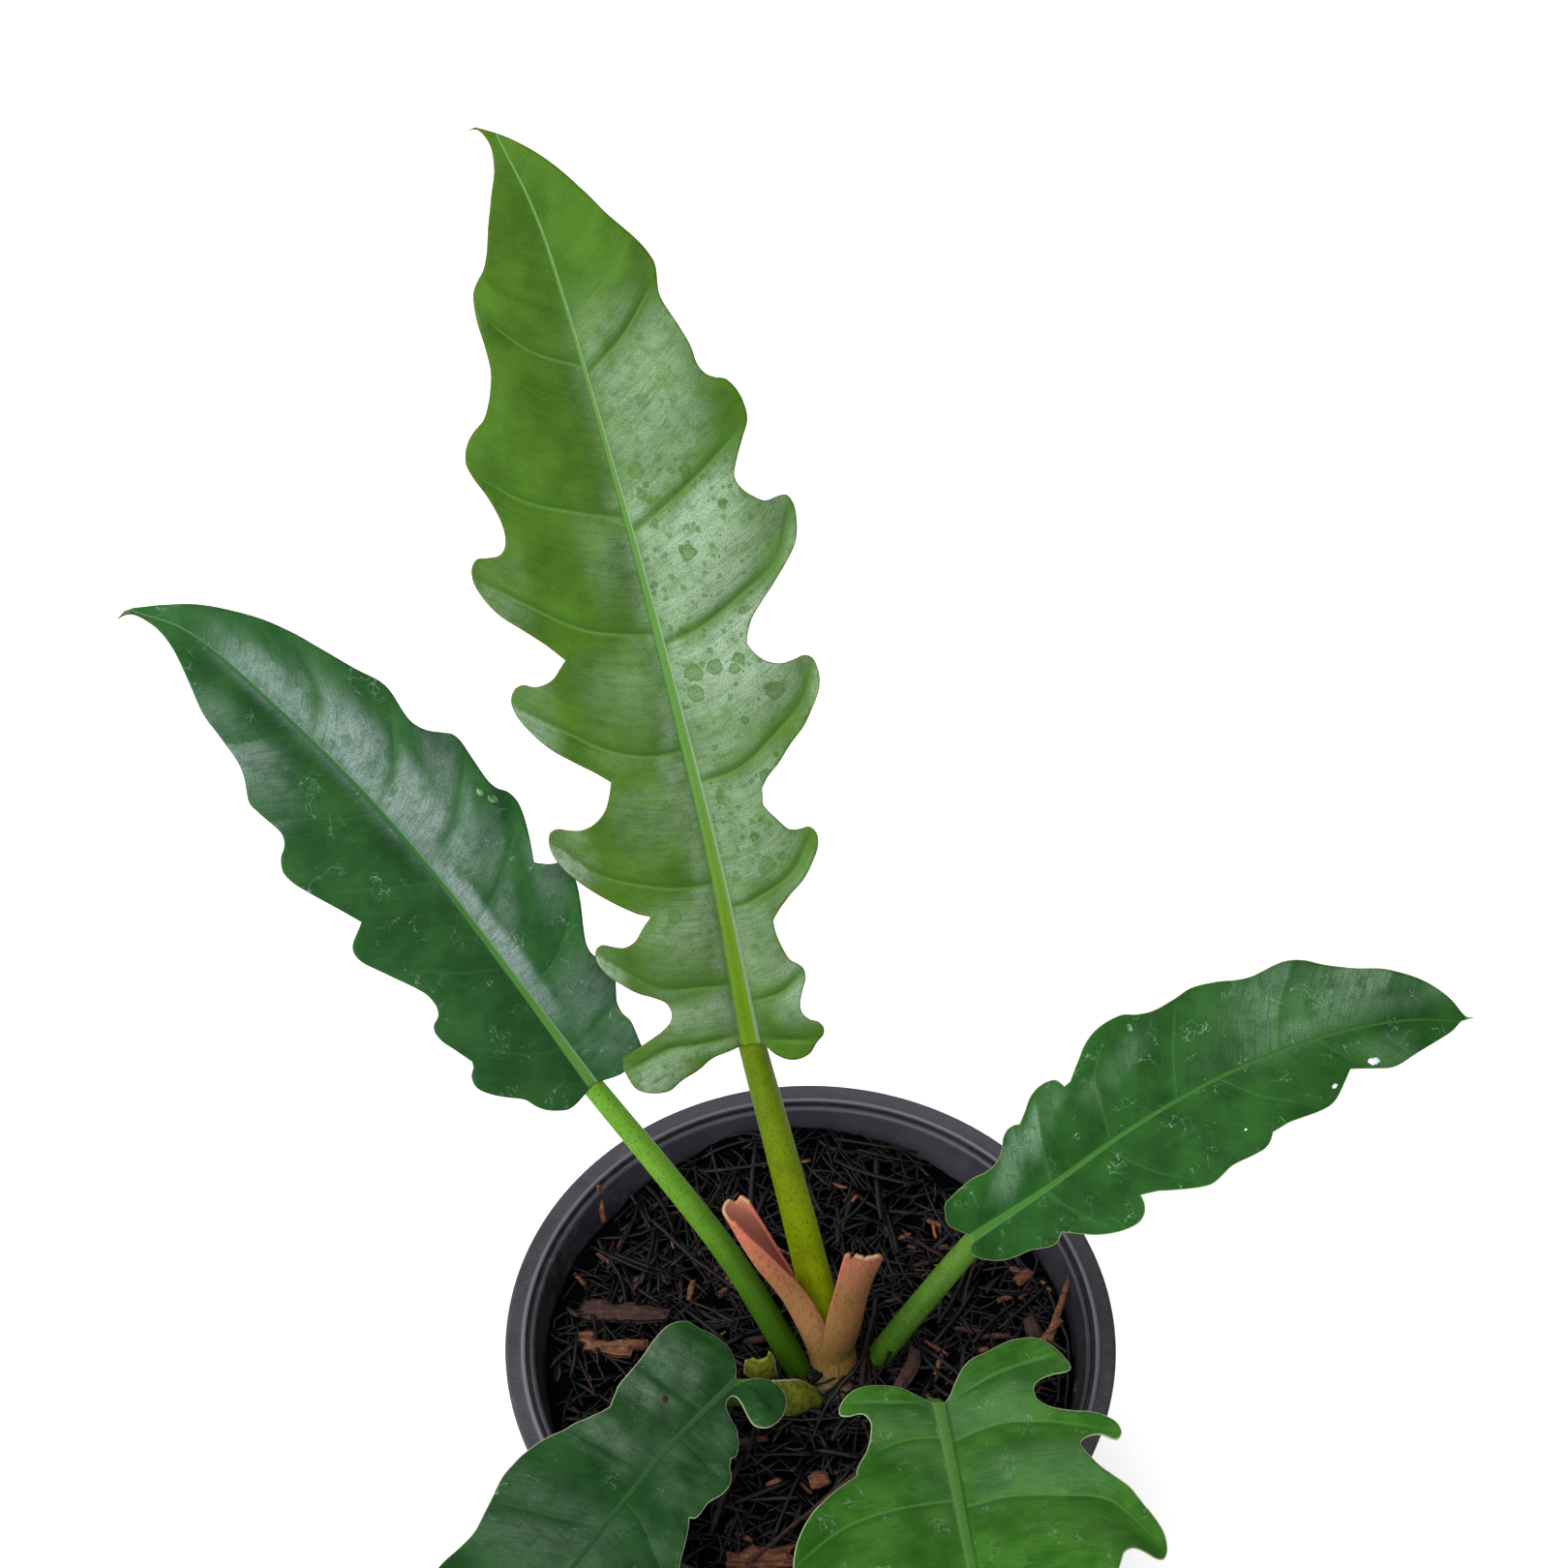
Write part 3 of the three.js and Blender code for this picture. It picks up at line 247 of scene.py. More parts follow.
             [30.7, 24.6], [31.3, 28.6], [33.1, 32.9], [35.9, 37.1], [38.8, 42.1], [40.9, 47.9],
             [43.1, 53.9], [44.3, 59.3], [43.8, 63.6], [42.2, 65.9], [40.6, 65.6], [39.1, 63.9],
             [36.5, 62.3], [34.1, 63.6], [33.1, 65.7], [30.5, 71]],
            [[33, 76], [36.5, 83], [38.6, 90], [38.4, 94.5], [36.5, 97], [33.5, 96.6], [30.5, 98],
             [28, 102]],
            [[30, 107], [32, 113], [32.6, 118], [31.4, 122], [28.5, 123.5], [25.5, 126], [23.8, 130]],
            [[23.6, 135], [21.8, 141], [17.5, 149], [11.5, 157], [6, 164], [2, 169.5], [0, 172]],
        ],
        "right": [
            [[0.5, 2.1], [2.6, 0.7], [5.5, -1.4], [8.7, -3.4], [12.3, -4.1], [15.9, -4.1], [19.4, -3],
             [22.6, -0.4], [24.3, 2.9], [23.9, 5], [21.9, 5.5], [20.1, 5], [18.7, 5.2], [17.8, 7],
             [17.4, 9.3], [18, 12.9], [19.4, 17.1], [21.6, 20.7], [22.6, 23.6], [22.8, 26.1]],
            [[24.4, 28.6], [27.3, 32.1], [30.9, 36.4], [34.4, 40.7], [37.3, 45], [39.4, 49.2], [40.5, 53.6],
             [40.8, 57.5], [39.5, 60.5], [36.8, 61.3], [34.2, 62.3], [32, 65.5], [31, 69]],
            [[33.5, 74], [36.8, 80.5], [38.6, 87], [38, 91.5], [35.8, 93.6], [32.8, 93.6], [30, 95.5],
             [28, 99.5]],
            [[30, 105], [31.8, 111], [32, 116], [30.4, 119.5], [27.6, 121], [25, 124], [23.6, 128]],
            [[23.2, 134], [21, 141], [16.5, 149], [10.8, 157], [5.6, 164], [1.8, 169.5]],
        ],
    },
}

# Side veins of each half: the station where the vein leaves the midrib, then its [reach, station] points.
SIDE_VEINS = {
    "leaf_tall": {
        "left": [
            (2, [[13, 3], [20, 3.6], [28, 1]]), (15.5, [[11, 18], [20, 20.3], [30, 30]]),
            (43, [[10.3, 45], [20, 48.8], [28, 53.5], [34, 61]]),
            (77.3, [[10.3, 79.2], [20, 84.2], [35, 97]]), (106.3, [[9.5, 109.2], [19.5, 114.2], [36, 129]]),
            (134, [[10.3, 138.6], [21, 144], [29.5, 151.7]]),
            (169.7, [[9.5, 175.5], [15.7, 182.5], [18.5, 188]]),
        ],
        "right": [
            (0.5, [[9, -1], [14, -2]]), (10, [[9, 12], [13.5, 15.4]]),
            (35.7, [[7.4, 37.7], [17.4, 43], [23, 50]]),
            (69, [[10.5, 70.8], [19.7, 76.2], [28.9, 83.1], [32.5, 90]]),
            (103.3, [[10.5, 106.2], [20.5, 110.8], [30.5, 116.2], [36, 125]]),
            (130.5, [[10.5, 135.5], [20.5, 140.9], [30.5, 147]]), (167.5, [[10.5, 174], [18.9, 181.7]]),
        ],
    },
    "leaf_left": {
        "left": [
            (12, [[8.4, 18.2], [13.4, 23.8]]), (38.5, [[8.7, 45.2], [16.9, 52.9]]),
            (66.5, [[8.7, 72.3], [13.4, 76.1]]), (88, [[7.5, 92.6], [11.6, 96.7], [20, 104]]),
            (113, [[10.5, 120.8]]),
        ],
        "right": [
            (10, [[7.2, 12]]), (30.5, [[10.7, 33.2], [20, 40]]), (52.5, [[7.2, 55.2], [13, 59]]),
            (70.5, [[10.7, 75], [20, 82]]), (89, [[8.3, 92.9], [17.2, 102]]),
            (111, [[8.4, 116.7], [13, 126.7]]),
        ],
    },
    "leaf_right": {
        "left": [
            (26, [[6.5, 28.8], [14, 33]]), (45, [[10, 49], [15.5, 51], [22, 58]]),
            (64.5, [[8.9, 68.8], [18.9, 74.1]]), (90.5, [[10, 94.7], [16.1, 98.6]]),
        ],
        "right": [
            (24, [[4, 25.5], [11, 30]]), (42.5, [[4.5, 45.8], [11.5, 51], [18, 58]]),
            (75.3, [[8.3, 83.3], [14, 92]]), (100, [[8.3, 106.9]]),
        ],
    },
    "leaf_front_left": {
        "left": [
            (22, [[8, 24.5]]), (46, [[6.7, 49.3], [16, 57.3]]), (72, [[8, 76], [18, 84]]),
            (98, [[8, 103]]),
        ],
        "right": [
            (11.5, [[6.7, 12.7]]), (36, [[17.3, 38.7]]), (55, [[6, 58.7], [20, 65.3]]),
            (80, [[8, 84], [20, 93]]), (104, [[8, 109]]),
        ],
    },
    "leaf_front_right": {
        "left": [
            (3, [[13.4, -3.6], [21, -6.4], [28, -8]]),
            (15, [[9.1, 12.5], [17.7, 12], [30, 15], [39, 19.5]]),
            (37, [[12, 36.4], [23.4, 38.2], [34, 42], [41, 56]]), (66, [[12, 69], [26, 76], [36, 86]]),
            (94, [[12, 98], [26, 107]]), (118, [[12, 124], [22, 131]]),
        ],
        "right": [
            (2, [[12, 1.5], [20, 1]]), (12.6, [[9.4, 13.6], [17.3, 17.1]]),
            (34.3, [[12.3, 36.8], [25.9, 41.4], [37, 50]]), (62, [[12, 65], [26, 72], [36, 82]]),
            (90, [[12, 94], [26, 103]]), (115, [[12, 121], [22, 129]]),
        ],
    },
}

# How each blade is worked: the rib's half width at points along it, the swell between its side veins,
# the depth of the crease along them, the wave of its margin, and where along that wave it starts.
LEAF_RELIEF = {
    "leaf_tall": {"rib": [(0, 2.3), (20, 2.0), (50, 1.5), (90, 1.1), (120, 0.8), (160, 0.5), (224, 0.2)],
                  "swell": 1.2, "crease": 0.35, "wave": 1.8, "wave_start": 0.1, "pucker": 0.15},
    "leaf_left": {"rib": [(0, 1.4), (30, 0.95), (80, 0.6), (162, 0.22)],
                  "swell": 0.6, "crease": 0.12, "wave": 1.5, "wave_start": 0.2, "pucker": 0.1},
    "leaf_right": {"rib": [(0, 1.2), (25, 0.7), (50, 0.5), (90, 0.34), (139, 0.2)],
                   "swell": 0.6, "crease": 0.15, "wave": 1.6, "wave_start": 0.2, "pucker": 0.2},
    "leaf_front_left": {"rib": [(0, 0.8), (20, 0.55), (100, 0.5), (165, 0.25)],
                        "swell": 0.8, "crease": 0.15, "wave": 1.4, "wave_start": 0.4, "pucker": 0.75},
    "leaf_front_right": {"rib": [(0, 1.4), (50, 1.05), (110, 0.8), (170, 0.3)],
                         "swell": 0.8, "crease": 0.2, "wave": 1.8, "wave_start": 0.1, "pucker": 0.2},
}
# The blade is folded once more before its first side vein and a few times beyond its last one: how far
# from that vein, and how strongly such a fold shows against a real vein.
FOLD_BEFORE = 26
FOLDS_BEYOND = (25, 46, 64, 80, 96)
FAINT_VEIN = 0.12

# Where the stalks run, foot to top, and their radius at both ends. A stalk's keel lies under the blade by
# its own radius there times the sink.
STALK_SHAPES = {
    "petiole_tall": {
        "path": [[7.3, -2, 105], [-3, 20.9, 146], [-14.6, 43.7, 186.8]],
        "foot": 4.9, "top": 3.3, "sink": 0.95,
    },
    "petiole_left": {
        "path": [[1.5, -5, 101], [-7.7, 2.8, 120.3], [-22.9, 15.3, 144.9], [-52.2, 33.8, 184.1]],
        "foot": 3.5, "top": 2.7, "sink": 0.95,
    },
    "petiole_right": {
        "path": [[9, -4, 98], [15.3, 1, 108.4], [25.8, 5.8, 126.8], [39, 12.4, 149.4]],
        "foot": 3.3, "top": 3.0, "sink": 0.95,
    },
    "petiole_front_left": {
        "path": [[1, -6, 106], [-5, -10.6, 114], [-11.8, -12.6, 118.8], [-18.8, -13.6, 124.4]],
        "foot": 4.2, "top": 3.2, "sink": 0.95,
    },
    "petiole_front_right": {
        "path": [
            [8, -8, 98], [17, -17.5, 108.5], [23.5, -21.8, 119], [27, -23.6, 128], [29.5, -24.4, 136.6],
        ],
        "foot": 3.4, "top": 2.9, "sink": 1.5,
    },
}


# Curves and meshes


def blended(low, high, values):
    """A smooth step from 0 at low to 1 at high."""
    share = np.clip((np.asarray(values, dtype=float) - low) / (high - low), 0, 1)
    return share * share * (3 - 2 * share)


def smooth_curve(points, samples):
    """Points evenly spread along a smooth curve through the given ones, with their distances along it."""
    given = np.asarray(points, dtype=float)
    padded = np.vstack([2 * given[0] - given[1], given, 2 * given[-1] - given[-2]])
    dense = []
    steps = np.linspace(0, 1, 60, endpoint=False)[:, None]
    for a, b, c, d in zip(padded[:-3], padded[1:-2], padded[2:-1], padded[3:]):
        dense.append(0.5 * (2 * b + (c - a) * steps + (2 * a - 5 * b + 4 * c - d) * steps ** 2
                            + (3 * b - a - 3 * c + d) * steps ** 3))
    dense = np.vstack(dense + [given[-1:]])
    distance = np.concatenate([[0], np.cumsum(np.linalg.norm(np.diff(dense, axis=0), axis=1))])
    wanted = np.linspace(0, distance[-1], samples)
    return read_along(wanted, distance, dense), wanted


def read_along(places, marks, vectors):
    """The vectors that stand at the marks, read at the places in between."""
    return np.stack([np.interp(places, marks, column) for column in vectors.T], axis=-1)


def unit(vectors):
    return vectors / np.linalg.norm(vectors, axis=-1, keepdims=True)


def solid_object(name, points, faces):
    """A smooth-shaded mesh object from points in millimetres and a list of faces."""
    mesh = bpy.data.meshes.new(name)
    mesh.from_pydata((np.asarray(points) * MM).tolist(), [], faces)
    mesh.validate()
    mesh.shade_smooth()
    thing = bpy.data.objects.new(name, mesh)
    bpy.context.scene.collection.objects.link(thing)
    return thing


def add_attribute(thing, name, values):
    layer = thing.data.attributes.new(name, "FLOAT", "POINT")
    layer.data.foreach_set("value", np.asarray(values, dtype=np.float32))


def add_uv(thing, coordinates):
    """A UV map from one pair of numbers for each point."""
    mesh = thing.data
    layer = mesh.uv_layers.new(name="UVMap")
    corners = np.empty(len(mesh.loops), dtype=np.int32)
    mesh.loops.foreach_get("vertex_index", corners)
    layer.data.foreach_set("uv", np.asarray(coordinates, dtype=np.float32)[corners].ravel())


def ring_faces(rows, columns, closed=True):
    """Quads between rows of points, which close on themselves across if asked."""
    faces = []
    span = columns if closed else columns - 1
    for row in range(rows - 1):
        for column in range(span):
            after = (column + 1) % columns
            faces.append((row * columns + column, row * columns + after,
                          (row + 1) * columns + after, (row + 1) * columns + column))
    return faces


def shifted(faces, start):
    """The same faces for points that are numbered from start."""
    return [tuple(start + corner for corner in face) for face in faces]


def tube_faces(rows, sides):
    """The faces of a closed tube: quads between its rings, and a cap at each end."""
    caps = [tuple(range(sides - 1, -1, -1)), tuple(range((rows - 1) * sides, rows * sides))]
    return ring_faces(rows, sides) + caps


def both_sides(triangles, count):
    """The triangles of an upper side of count points, and the same ones turned over for a lower side."""
    upper = [tuple(face) for face in triangles.tolist()]
    return upper + [(count + a, count + c, count + b) for a, b, c in upper]


def tube_points(path, radii, sides, beside, squash=1.0, roll=0.0):
    """Rings of points round a path. Each ring starts square to the path and to the direction beside."""
    directions = unit(np.gradient(path, axis=0))
    across = unit(np.cross(beside, directions))
    third = np.cross(directions, across)
    angles = np.linspace(0, 2 * math.pi, sides, endpoint=False) + roll
    circle = (np.cos(angles)[None, :, None] * across[:, None]
              + squash * np.sin(angles)[None, :, None] * third[:, None])
    return path[:, None] + np.asarray(radii)[:, None, None] * circle


def waves(points, sizes, seed):
    """A bumpy field, from -1 to 1 or so, of waves in random directions for each size in the list."""
    chance = np.random.default_rng(seed)
    total = np.zeros(len(points))
    for size in sizes:
        for _ in range(7):
            direction = unit(chance.normal(size=points.shape[1]))
            length = size * chance.uniform(0.7, 1.4)
            total += np.sin(points @ direction * 2 * math.pi / length + chance.uniform(0, 2 * math.pi)) / 7
    return total / math.sqrt(len(sizes))


# Blades


def stroke_points(stroke, step):
    """A margin stroke as points about one step apart, on a curve that doesn't overshoot."""
    given = np.asarray(stroke, dtype=float)
    if len(given) < 3:
        return given
    padded = np.vstack([2 * given[0] - given[1], given, 2 * given[-1] - given[-2]])
    result = []
    for a, b, c, d in zip(padded[:-3], padded[1:-2], padded[2:-1], padded[3:]):
        spans = [np.linalg.norm(end - start) ** 0.5 for start, end in ((a, b), (b, c), (c, d))]
        knots = np.concatenate([[0], np.cumsum(spans)])
        count = max(1, round(float(np.linalg.norm(c - b)) / step))
        for place in np.linspace(knots[1], knots[2], count, endpoint=False):
            ab = (a * (knots[1] - place) + b * (place - knots[0])) / (knots[1] - knots[0])
            bc = (b * (knots[2] - place) + c * (place - knots[1])) / (knots[2] - knots[1])
            cd = (c * (knots[3] - place) + d * (place - knots[2])) / (knots[3] - knots[2])
            abc = (ab * (knots[2] - place) + bc * (place - knots[0])) / (knots[2] - knots[0])
            bcd = (bc * (knots[3] - place) + cd * (place - knots[1])) / (knots[3] - knots[1])
            result.append((abc * (knots[2] - place) + bcd * (place - knots[1])) / (knots[2] - knots[1]))
    return np.vstack(result + [given[-1:]])


def leaf_outline(leaf):
    """The margin as one anticlockwise loop of (reach, station), with the left half at negative reach."""
    halves = []
    for side, sign in (("right", 1), ("left", -1)):
        half = np.vstack([stroke_points(stroke, MARGIN_STEP) for stroke in leaf[side]])
        halves.append(half * (sign, 1))
    loop = np.vstack([halves[0], halves[1][::-1]])
    gaps = np.linalg.norm(loop - np.roll(loop, 1, axis=0), axis=1)
    return loop[gaps > MARGIN_GAP]


def outline_distance(points, outline):
    """How far each point is from the outline, and whether it lies inside it."""
    nearest = np.full(len(points), np.inf)
    inside = np.zeros(len(points), dtype=bool)
    for start, end in zip(outline, np.roll(outline, -1, axis=0)):
        side = end - start
        share = np.clip((points - start) @ side / (side @ side), 0, 1)
        nearest = np.minimum(nearest, np.linalg.norm(points - start - share[:, None] * side, axis=1))
        if start[1] != end[1]:
            spans = (start[1] > points[:, 1]) != (end[1] > points[:, 1])
            crossing = start[0] + (end[0] - start[0]) * (points[:, 1] - start[1]) / (end[1] - start[1])
            inside ^= spans & (points[:, 0] < crossing)
    return nearest, inside


def filled_outline(outline, cell):
    """Even triangles inside an outline. The outline's points come first."""
    low, high = outline.min(axis=0), outline.max(axis=0)
    row_height = cell * math.sqrt(0.75)
    rows = np.arange(low[1], high[1], row_height)
    columns = np.arange(math.floor(low[0] / cell), math.ceil(high[0] / cell) + 1)
    grid = np.array([((column + 0.5 * (row % 2)) * cell, height)
                     for row, height in enumerate(rows) for column in columns])
    distance, inside = outline_distance(grid, outline)
    points = np.vstack([outline, grid[inside & (distance > 0.5 * cell)]])
    corners = [Vector(point) for point in points.tolist()]
    found = delaunay_2d_cdt(corners, [], [list(range(len(outline)))], 1, 1e-7)
    if len(found[0]) != len(points):
        raise ValueError("the outline crosses itself or has two points in one place")
    return points, np.array(found[2])


def side_vein_place(name, half, reach, station):
    """For points of one half: how far they lie past a side vein, how far before the next, their share of
    the way between the two, and how strongly the nearer one shows, as a real vein or a mere fold."""
    veins = SIDE_VEINS[name][half]
    first, last = veins[0], veins[-1]
    spread = [(first[0] - FOLD_BEFORE, [[r, s - FOLD_BEFORE] for r, s in first[1]])] + list(veins)
    spread += [(last[0] + add, [[r, s + add] for r, s in last[1]]) for add in FOLDS_BEYOND]
    heights = []
    for root, points in spread:
        line, _ = smooth_curve([[0.0, root]] + points, 60)
        slope = (line[-1, 1] - line[-2, 1]) / (line[-1, 0] - line[-2, 0])
        beyond = np.maximum(reach - line[-1, 0], 0)
        heights.append(np.interp(reach, line[:, 0], line[:, 1]) + slope * beyond)
    heights = np.maximum.accumulate(np.array(heights) + np.arange(len(heights))[:, None] * 0.01)
    index = np.clip((heights <= station).sum(axis=0) - 1, 0, len(heights) - 2)
    columns = np.arange(len(reach))
    low, high = heights[index, columns], heights[index + 1, columns]
    share = np.clip((station - low) / (high - low), 0, 1)
    share = np.where(index == 0, 0.5 + 0.5 * share, share)
    nearer = np.round(index + share)
    real = np.where((nearer >= 1) & (nearer <= len(veins)), 1.0, FAINT_VEIN)
    return share * (high - low), (1 - share) * (high - low), index + share, real


def blade_frame(leaf, station):
    """The midrib's points, the way that it faces and the way across it, at the given stations."""
    midrib, distance = smooth_curve(leaf["midrib"], MIDRIB_SAMPLES)
    length = distance[-1]
    held = np.clip(station, 0, length)
    along = unit(read_along(held, distance, unit(np.gradient(midrib, axis=0))))
    share = (held / length)[:, None]
    faces = np.array(leaf["faces_at_stalk"]) * (1 - share) + np.array(leaf["faces_at_tip"]) * share
    faces = unit(faces - (faces * along).sum(axis=1, keepdims=True) * along)
    base = read_along(held, distance, midrib) + along * (station - held)[:, None]
    return base, faces, np.cross(along, faces)


def blade_fields(name, flat, outline):
    """What the relief and the paint of a blade need to know at each flat point."""
    reach, station = np.abs(flat[:, 0]), flat[:, 1]
    fields = {"reach": reach, "station": station, "side": flat[:, 0]}
    fields["edge"], _ = outline_distance(flat, outline)
    veins = {key: np.zeros(len(flat)) for key in ("past", "before", "phase", "real")}
    for half, chosen in (("right", flat[:, 0] >= 0), ("left", flat[:, 0] < 0)):
        found = side_vein_place(name, half, reach[chosen], station[chosen])
        for key, values in zip(veins, found):
            veins[key][chosen] = values
    fields.update(veins)
    rib = LEAF_RELIEF[name]["rib"]
    fields["rib_width"] = np.interp(station, [point[0] for point in rib], [point[1] for point in rib])
    return fields


def blade_relief(name, fields, flat):
    """How far the upper face stands off the smooth blade."""
    relief = LEAF_RELIEF[name]
    reach, rib = fields["reach"], fields["rib_width"]
    share = fields["phase"] % 1
    off_rib = blended(rib, rib + 6, reach)
    off_margin = blended(0, 5, fields["edge"])

    # the blade swells between its side veins and is creased along them
    swell = relief["swell"] * np.sqrt(fields["real"])
    height = swell * off_rib * (0.35 + 0.65 * off_margin) * np.sin(math.pi * share) ** 0.8
    nearest = np.minimum(fields["past"], fields["before"]) * 0.85
    crease = relief["crease"] * fields["real"] * np.exp(-(nearest / 0.9) ** 2)
    height -= crease * off_margin * blended(rib * 0.8, rib + 2, reach)

    # the midrib is a low round ridge with a groove beside it
    ribbed = np.clip(1 - (reach / rib) ** 2, 0, 1) ** 0.5
    height += 0.3 * rib * ribbed
    height -= 0.15 * rib * np.exp(-((reach - 1.25 * rib) / (0.3 * rib + 0.2)) ** 2)

    # the margin waves with the lobes, and the blade is uneven, most of all near its stalk
    wave = np.cos(2 * math.pi * (fields["phase"] - relief["wave_start"]))
    height -= relief["wave"] * blended(8, 34, reach) * wave
    height += 0.25 * waves(flat, (30, 16), SEED) * off_rib
    puckered = np.exp(-((fields["station"] - 22) / 30) ** 2) * blended(1, 5, reach)
    height += relief["pucker"] * puckered * waves(flat * (1.0, 1.4), (15, 8), SEED + 40)
    return height


def blade_object(name):
    """A blade with its upper and lower face, its relief, and the fields that its paint reads."""
    outline = leaf_outline(LEAF_SHAPES[name])
    flat, triangles = filled_outline(outline, BLADE_CELL)
    fields = blade_fields(name, flat, outline)
    upper, facing = upper_points(name, flat, fields)
    rib = fields["rib_width"]
    keel = 1.5 * rib * np.clip(1 - (fields["reach"] / (1.1 * rib)) ** 2, 0, 1) ** 0.5
    nearest = np.minimum(fields["past"], fields["before"])
    keel += 0.35 * np.exp(-(nearest / 0.8) ** 2) * blended(0, 6, fields["edge"])
    thickness = BLADE_THICKNESS * (0.45 + 0.55 * blended(0, 1.5, fields["edge"])) + keel
    lower = upper - facing * thickness[:, None]

    count, border = len(flat), len(outline)
    margin = [(start, (start + 1) % border) for start in range(border)]
    faces = both_sides(triangles, count)
    faces += [(end, start, count + start) for start, end in margin]
    faces += [(end, count + start, count + end) for start, end in margin]
    blade = solid_object(name + "_blade", np.vstack([upper, lower]), faces)

    add_uv(blade, np.vstack([flat, flat + (90, 0)]) / BLADE_UV_SIDE + (0.2, 0.05))
    add_attribute(blade, "under", np.repeat([0.0, 1.0], count))
    painted = {
        "edge": fields["edge"],
        "phase": fields["phase"],
        "gap": fields["past"] + fields["before"],
        "rib": flat[:, 0] / rib,
        # painted sheen: pale grey where the blade would mirror the bright sky
        "pale": sheen_profile(fields) * painted_patches(SHEEN_PATCHES[name], flat),
        "wet": painted_patches(WET_PATCHES[name], flat),
        "real": fields["real"],
        "reach": flat[:, 0],
        "station": flat[:, 1],
    }
    for field, values in painted.items():
        add_attribute(blade, field, np.tile(values, 2))
    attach(blade, "root")
    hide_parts(name)
    return blade


def upper_points(name, flat, fields):
    """The upper face of a blade at flat points, and the way that it faces there."""
    leaf = LEAF_SHAPES[name]
    base, facing, across = blade_frame(leaf, flat[:, 1])
    fold = math.radians(leaf["fold_degrees"])
    reach = flat[:, 0]
    rise = np.abs(reach) * math.sin(fold) - leaf["curl"] * reach ** 2 + blade_relief(name, fields, flat)
    return base + across * (reach * math.cos(fold))[:, None] + facing * rise[:, None], facing


# Small things that stand on the blades: blade, reach, station, half width, half length, lean and height.
WATER_DROPS = [
    ("leaf_left", 22, 74, 1.0, 1.7, 20, 0.7), ("leaf_left", 20.6, 77.4, 0.8, 1.1, 0, 0.5),
    ("leaf_front_left", 24, 63.3, 0.9, 2.4, -10, 0.7), ("leaf_right", -20.4, 64, 1.2, 0.8, 0, 0.4),
]
WHITE_FLAKES = [
    ("leaf_right", 9, 111.5, 1.0, 1.5, 0, 0.4), ("leaf_right", 12.5, 100.5, 0.5, 0.8, 20, 0.3),
    ("leaf_right", 14.5, 77, 0.4, 0.5, 0, 0.2),
]
BROWN_SCARS = [
    ("leaf_front_left", 8.5, 16.8, 0.9, 1.1, 20, 0.4), ("leaf_front_left", -9.5, 52, 0.4, 0.9, 30, 0.3),
]


def beads_object(name, beads, ragged):
    """Low domes on the blades in one mesh, each with a flat foot inside the blade."""
    points, faces = [], []
    sides, rings = 20, 6
    around = np.linspace(0, 2 * math.pi, sides, endpoint=False)
    circle = np.column_stack([np.cos(around), np.sin(around)])
    for index, (blade, reach, station, width, length, lean, height) in enumerate(beads):
        edge = 1 + ragged * waves(circle, (1.1, 0.5), SEED + 300 + index)
        turn = math.radians(lean)
        rows = []
        for rise in np.linspace(0, math.pi / 2, rings, endpoint=False):
            u = width * circle[:, 0] * math.cos(rise) * edge
            v = length * circle[:, 1] * math.cos(rise) * edge
            rows.append(np.column_stack([reach + u * math.cos(turn) - v * math.sin(turn),
                                         station + u * math.sin(turn) + v * math.cos(turn),
                                         np.full(sides, height * math.sin(rise))]))
        flat = np.vstack(rows + [[[reach, station, height]], [[reach, station, 0]]])
        fields = blade_fields(blade, flat[:, :2], leaf_outline(LEAF_SHAPES[blade]))
        face, facing = upper_points(blade, flat[:, :2], fields)
        start = index * (sides * rings + 2)
        points.append(face + facing * (flat[:, 2:] - BEAD_DEPTH))
        faces += shifted(ring_faces(rings, sides), start)
        last, top = start + sides * (rings - 1), start + sides * rings
        faces += [(last + side, last + (side + 1) % sides, top) for side in range(sides)]
        faces += [(start + (side + 1) % sides, start + side, top + 1) for side in range(sides)]
    piece = solid_object(name, np.vstack(points), faces)
    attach(piece, "root")
    return piece


def sheen_profile(fields):
    """How much of the painted sheen shows between one side vein (0) and the next towards the tip (1)."""
    share = fields["phase"] % 1
    left = 0.25 + 0.75 * blended(0.05, 0.75, share)
    right = 0.25 + 0.75 * blended(0, 0.22, share) * blended(1.02, 0.86, share)
    middle = blended(9, 3, fields["reach"])
    return np.maximum(np.where(fields["side"] < 0, left, right), middle)


def painted_patches(patches, flat):
    """Soft oval patches, each (reach, station, half width, half length, lean, strength)."""
    total = np.zeros(len(flat))
    for reach, station, width, length, lean, strength in patches:
        turned = math.radians(lean)
        aside, ahead = flat[:, 0] - reach, flat[:, 1] - station
        u = (aside * math.cos(turned) + ahead * math.sin(turned)) / width
        v = (ahead * math.cos(turned) - aside * math.sin(turned)) / length
        total = np.maximum(total, strength * np.exp(-(u ** 4 + v ** 4) * 0.7))
    return total
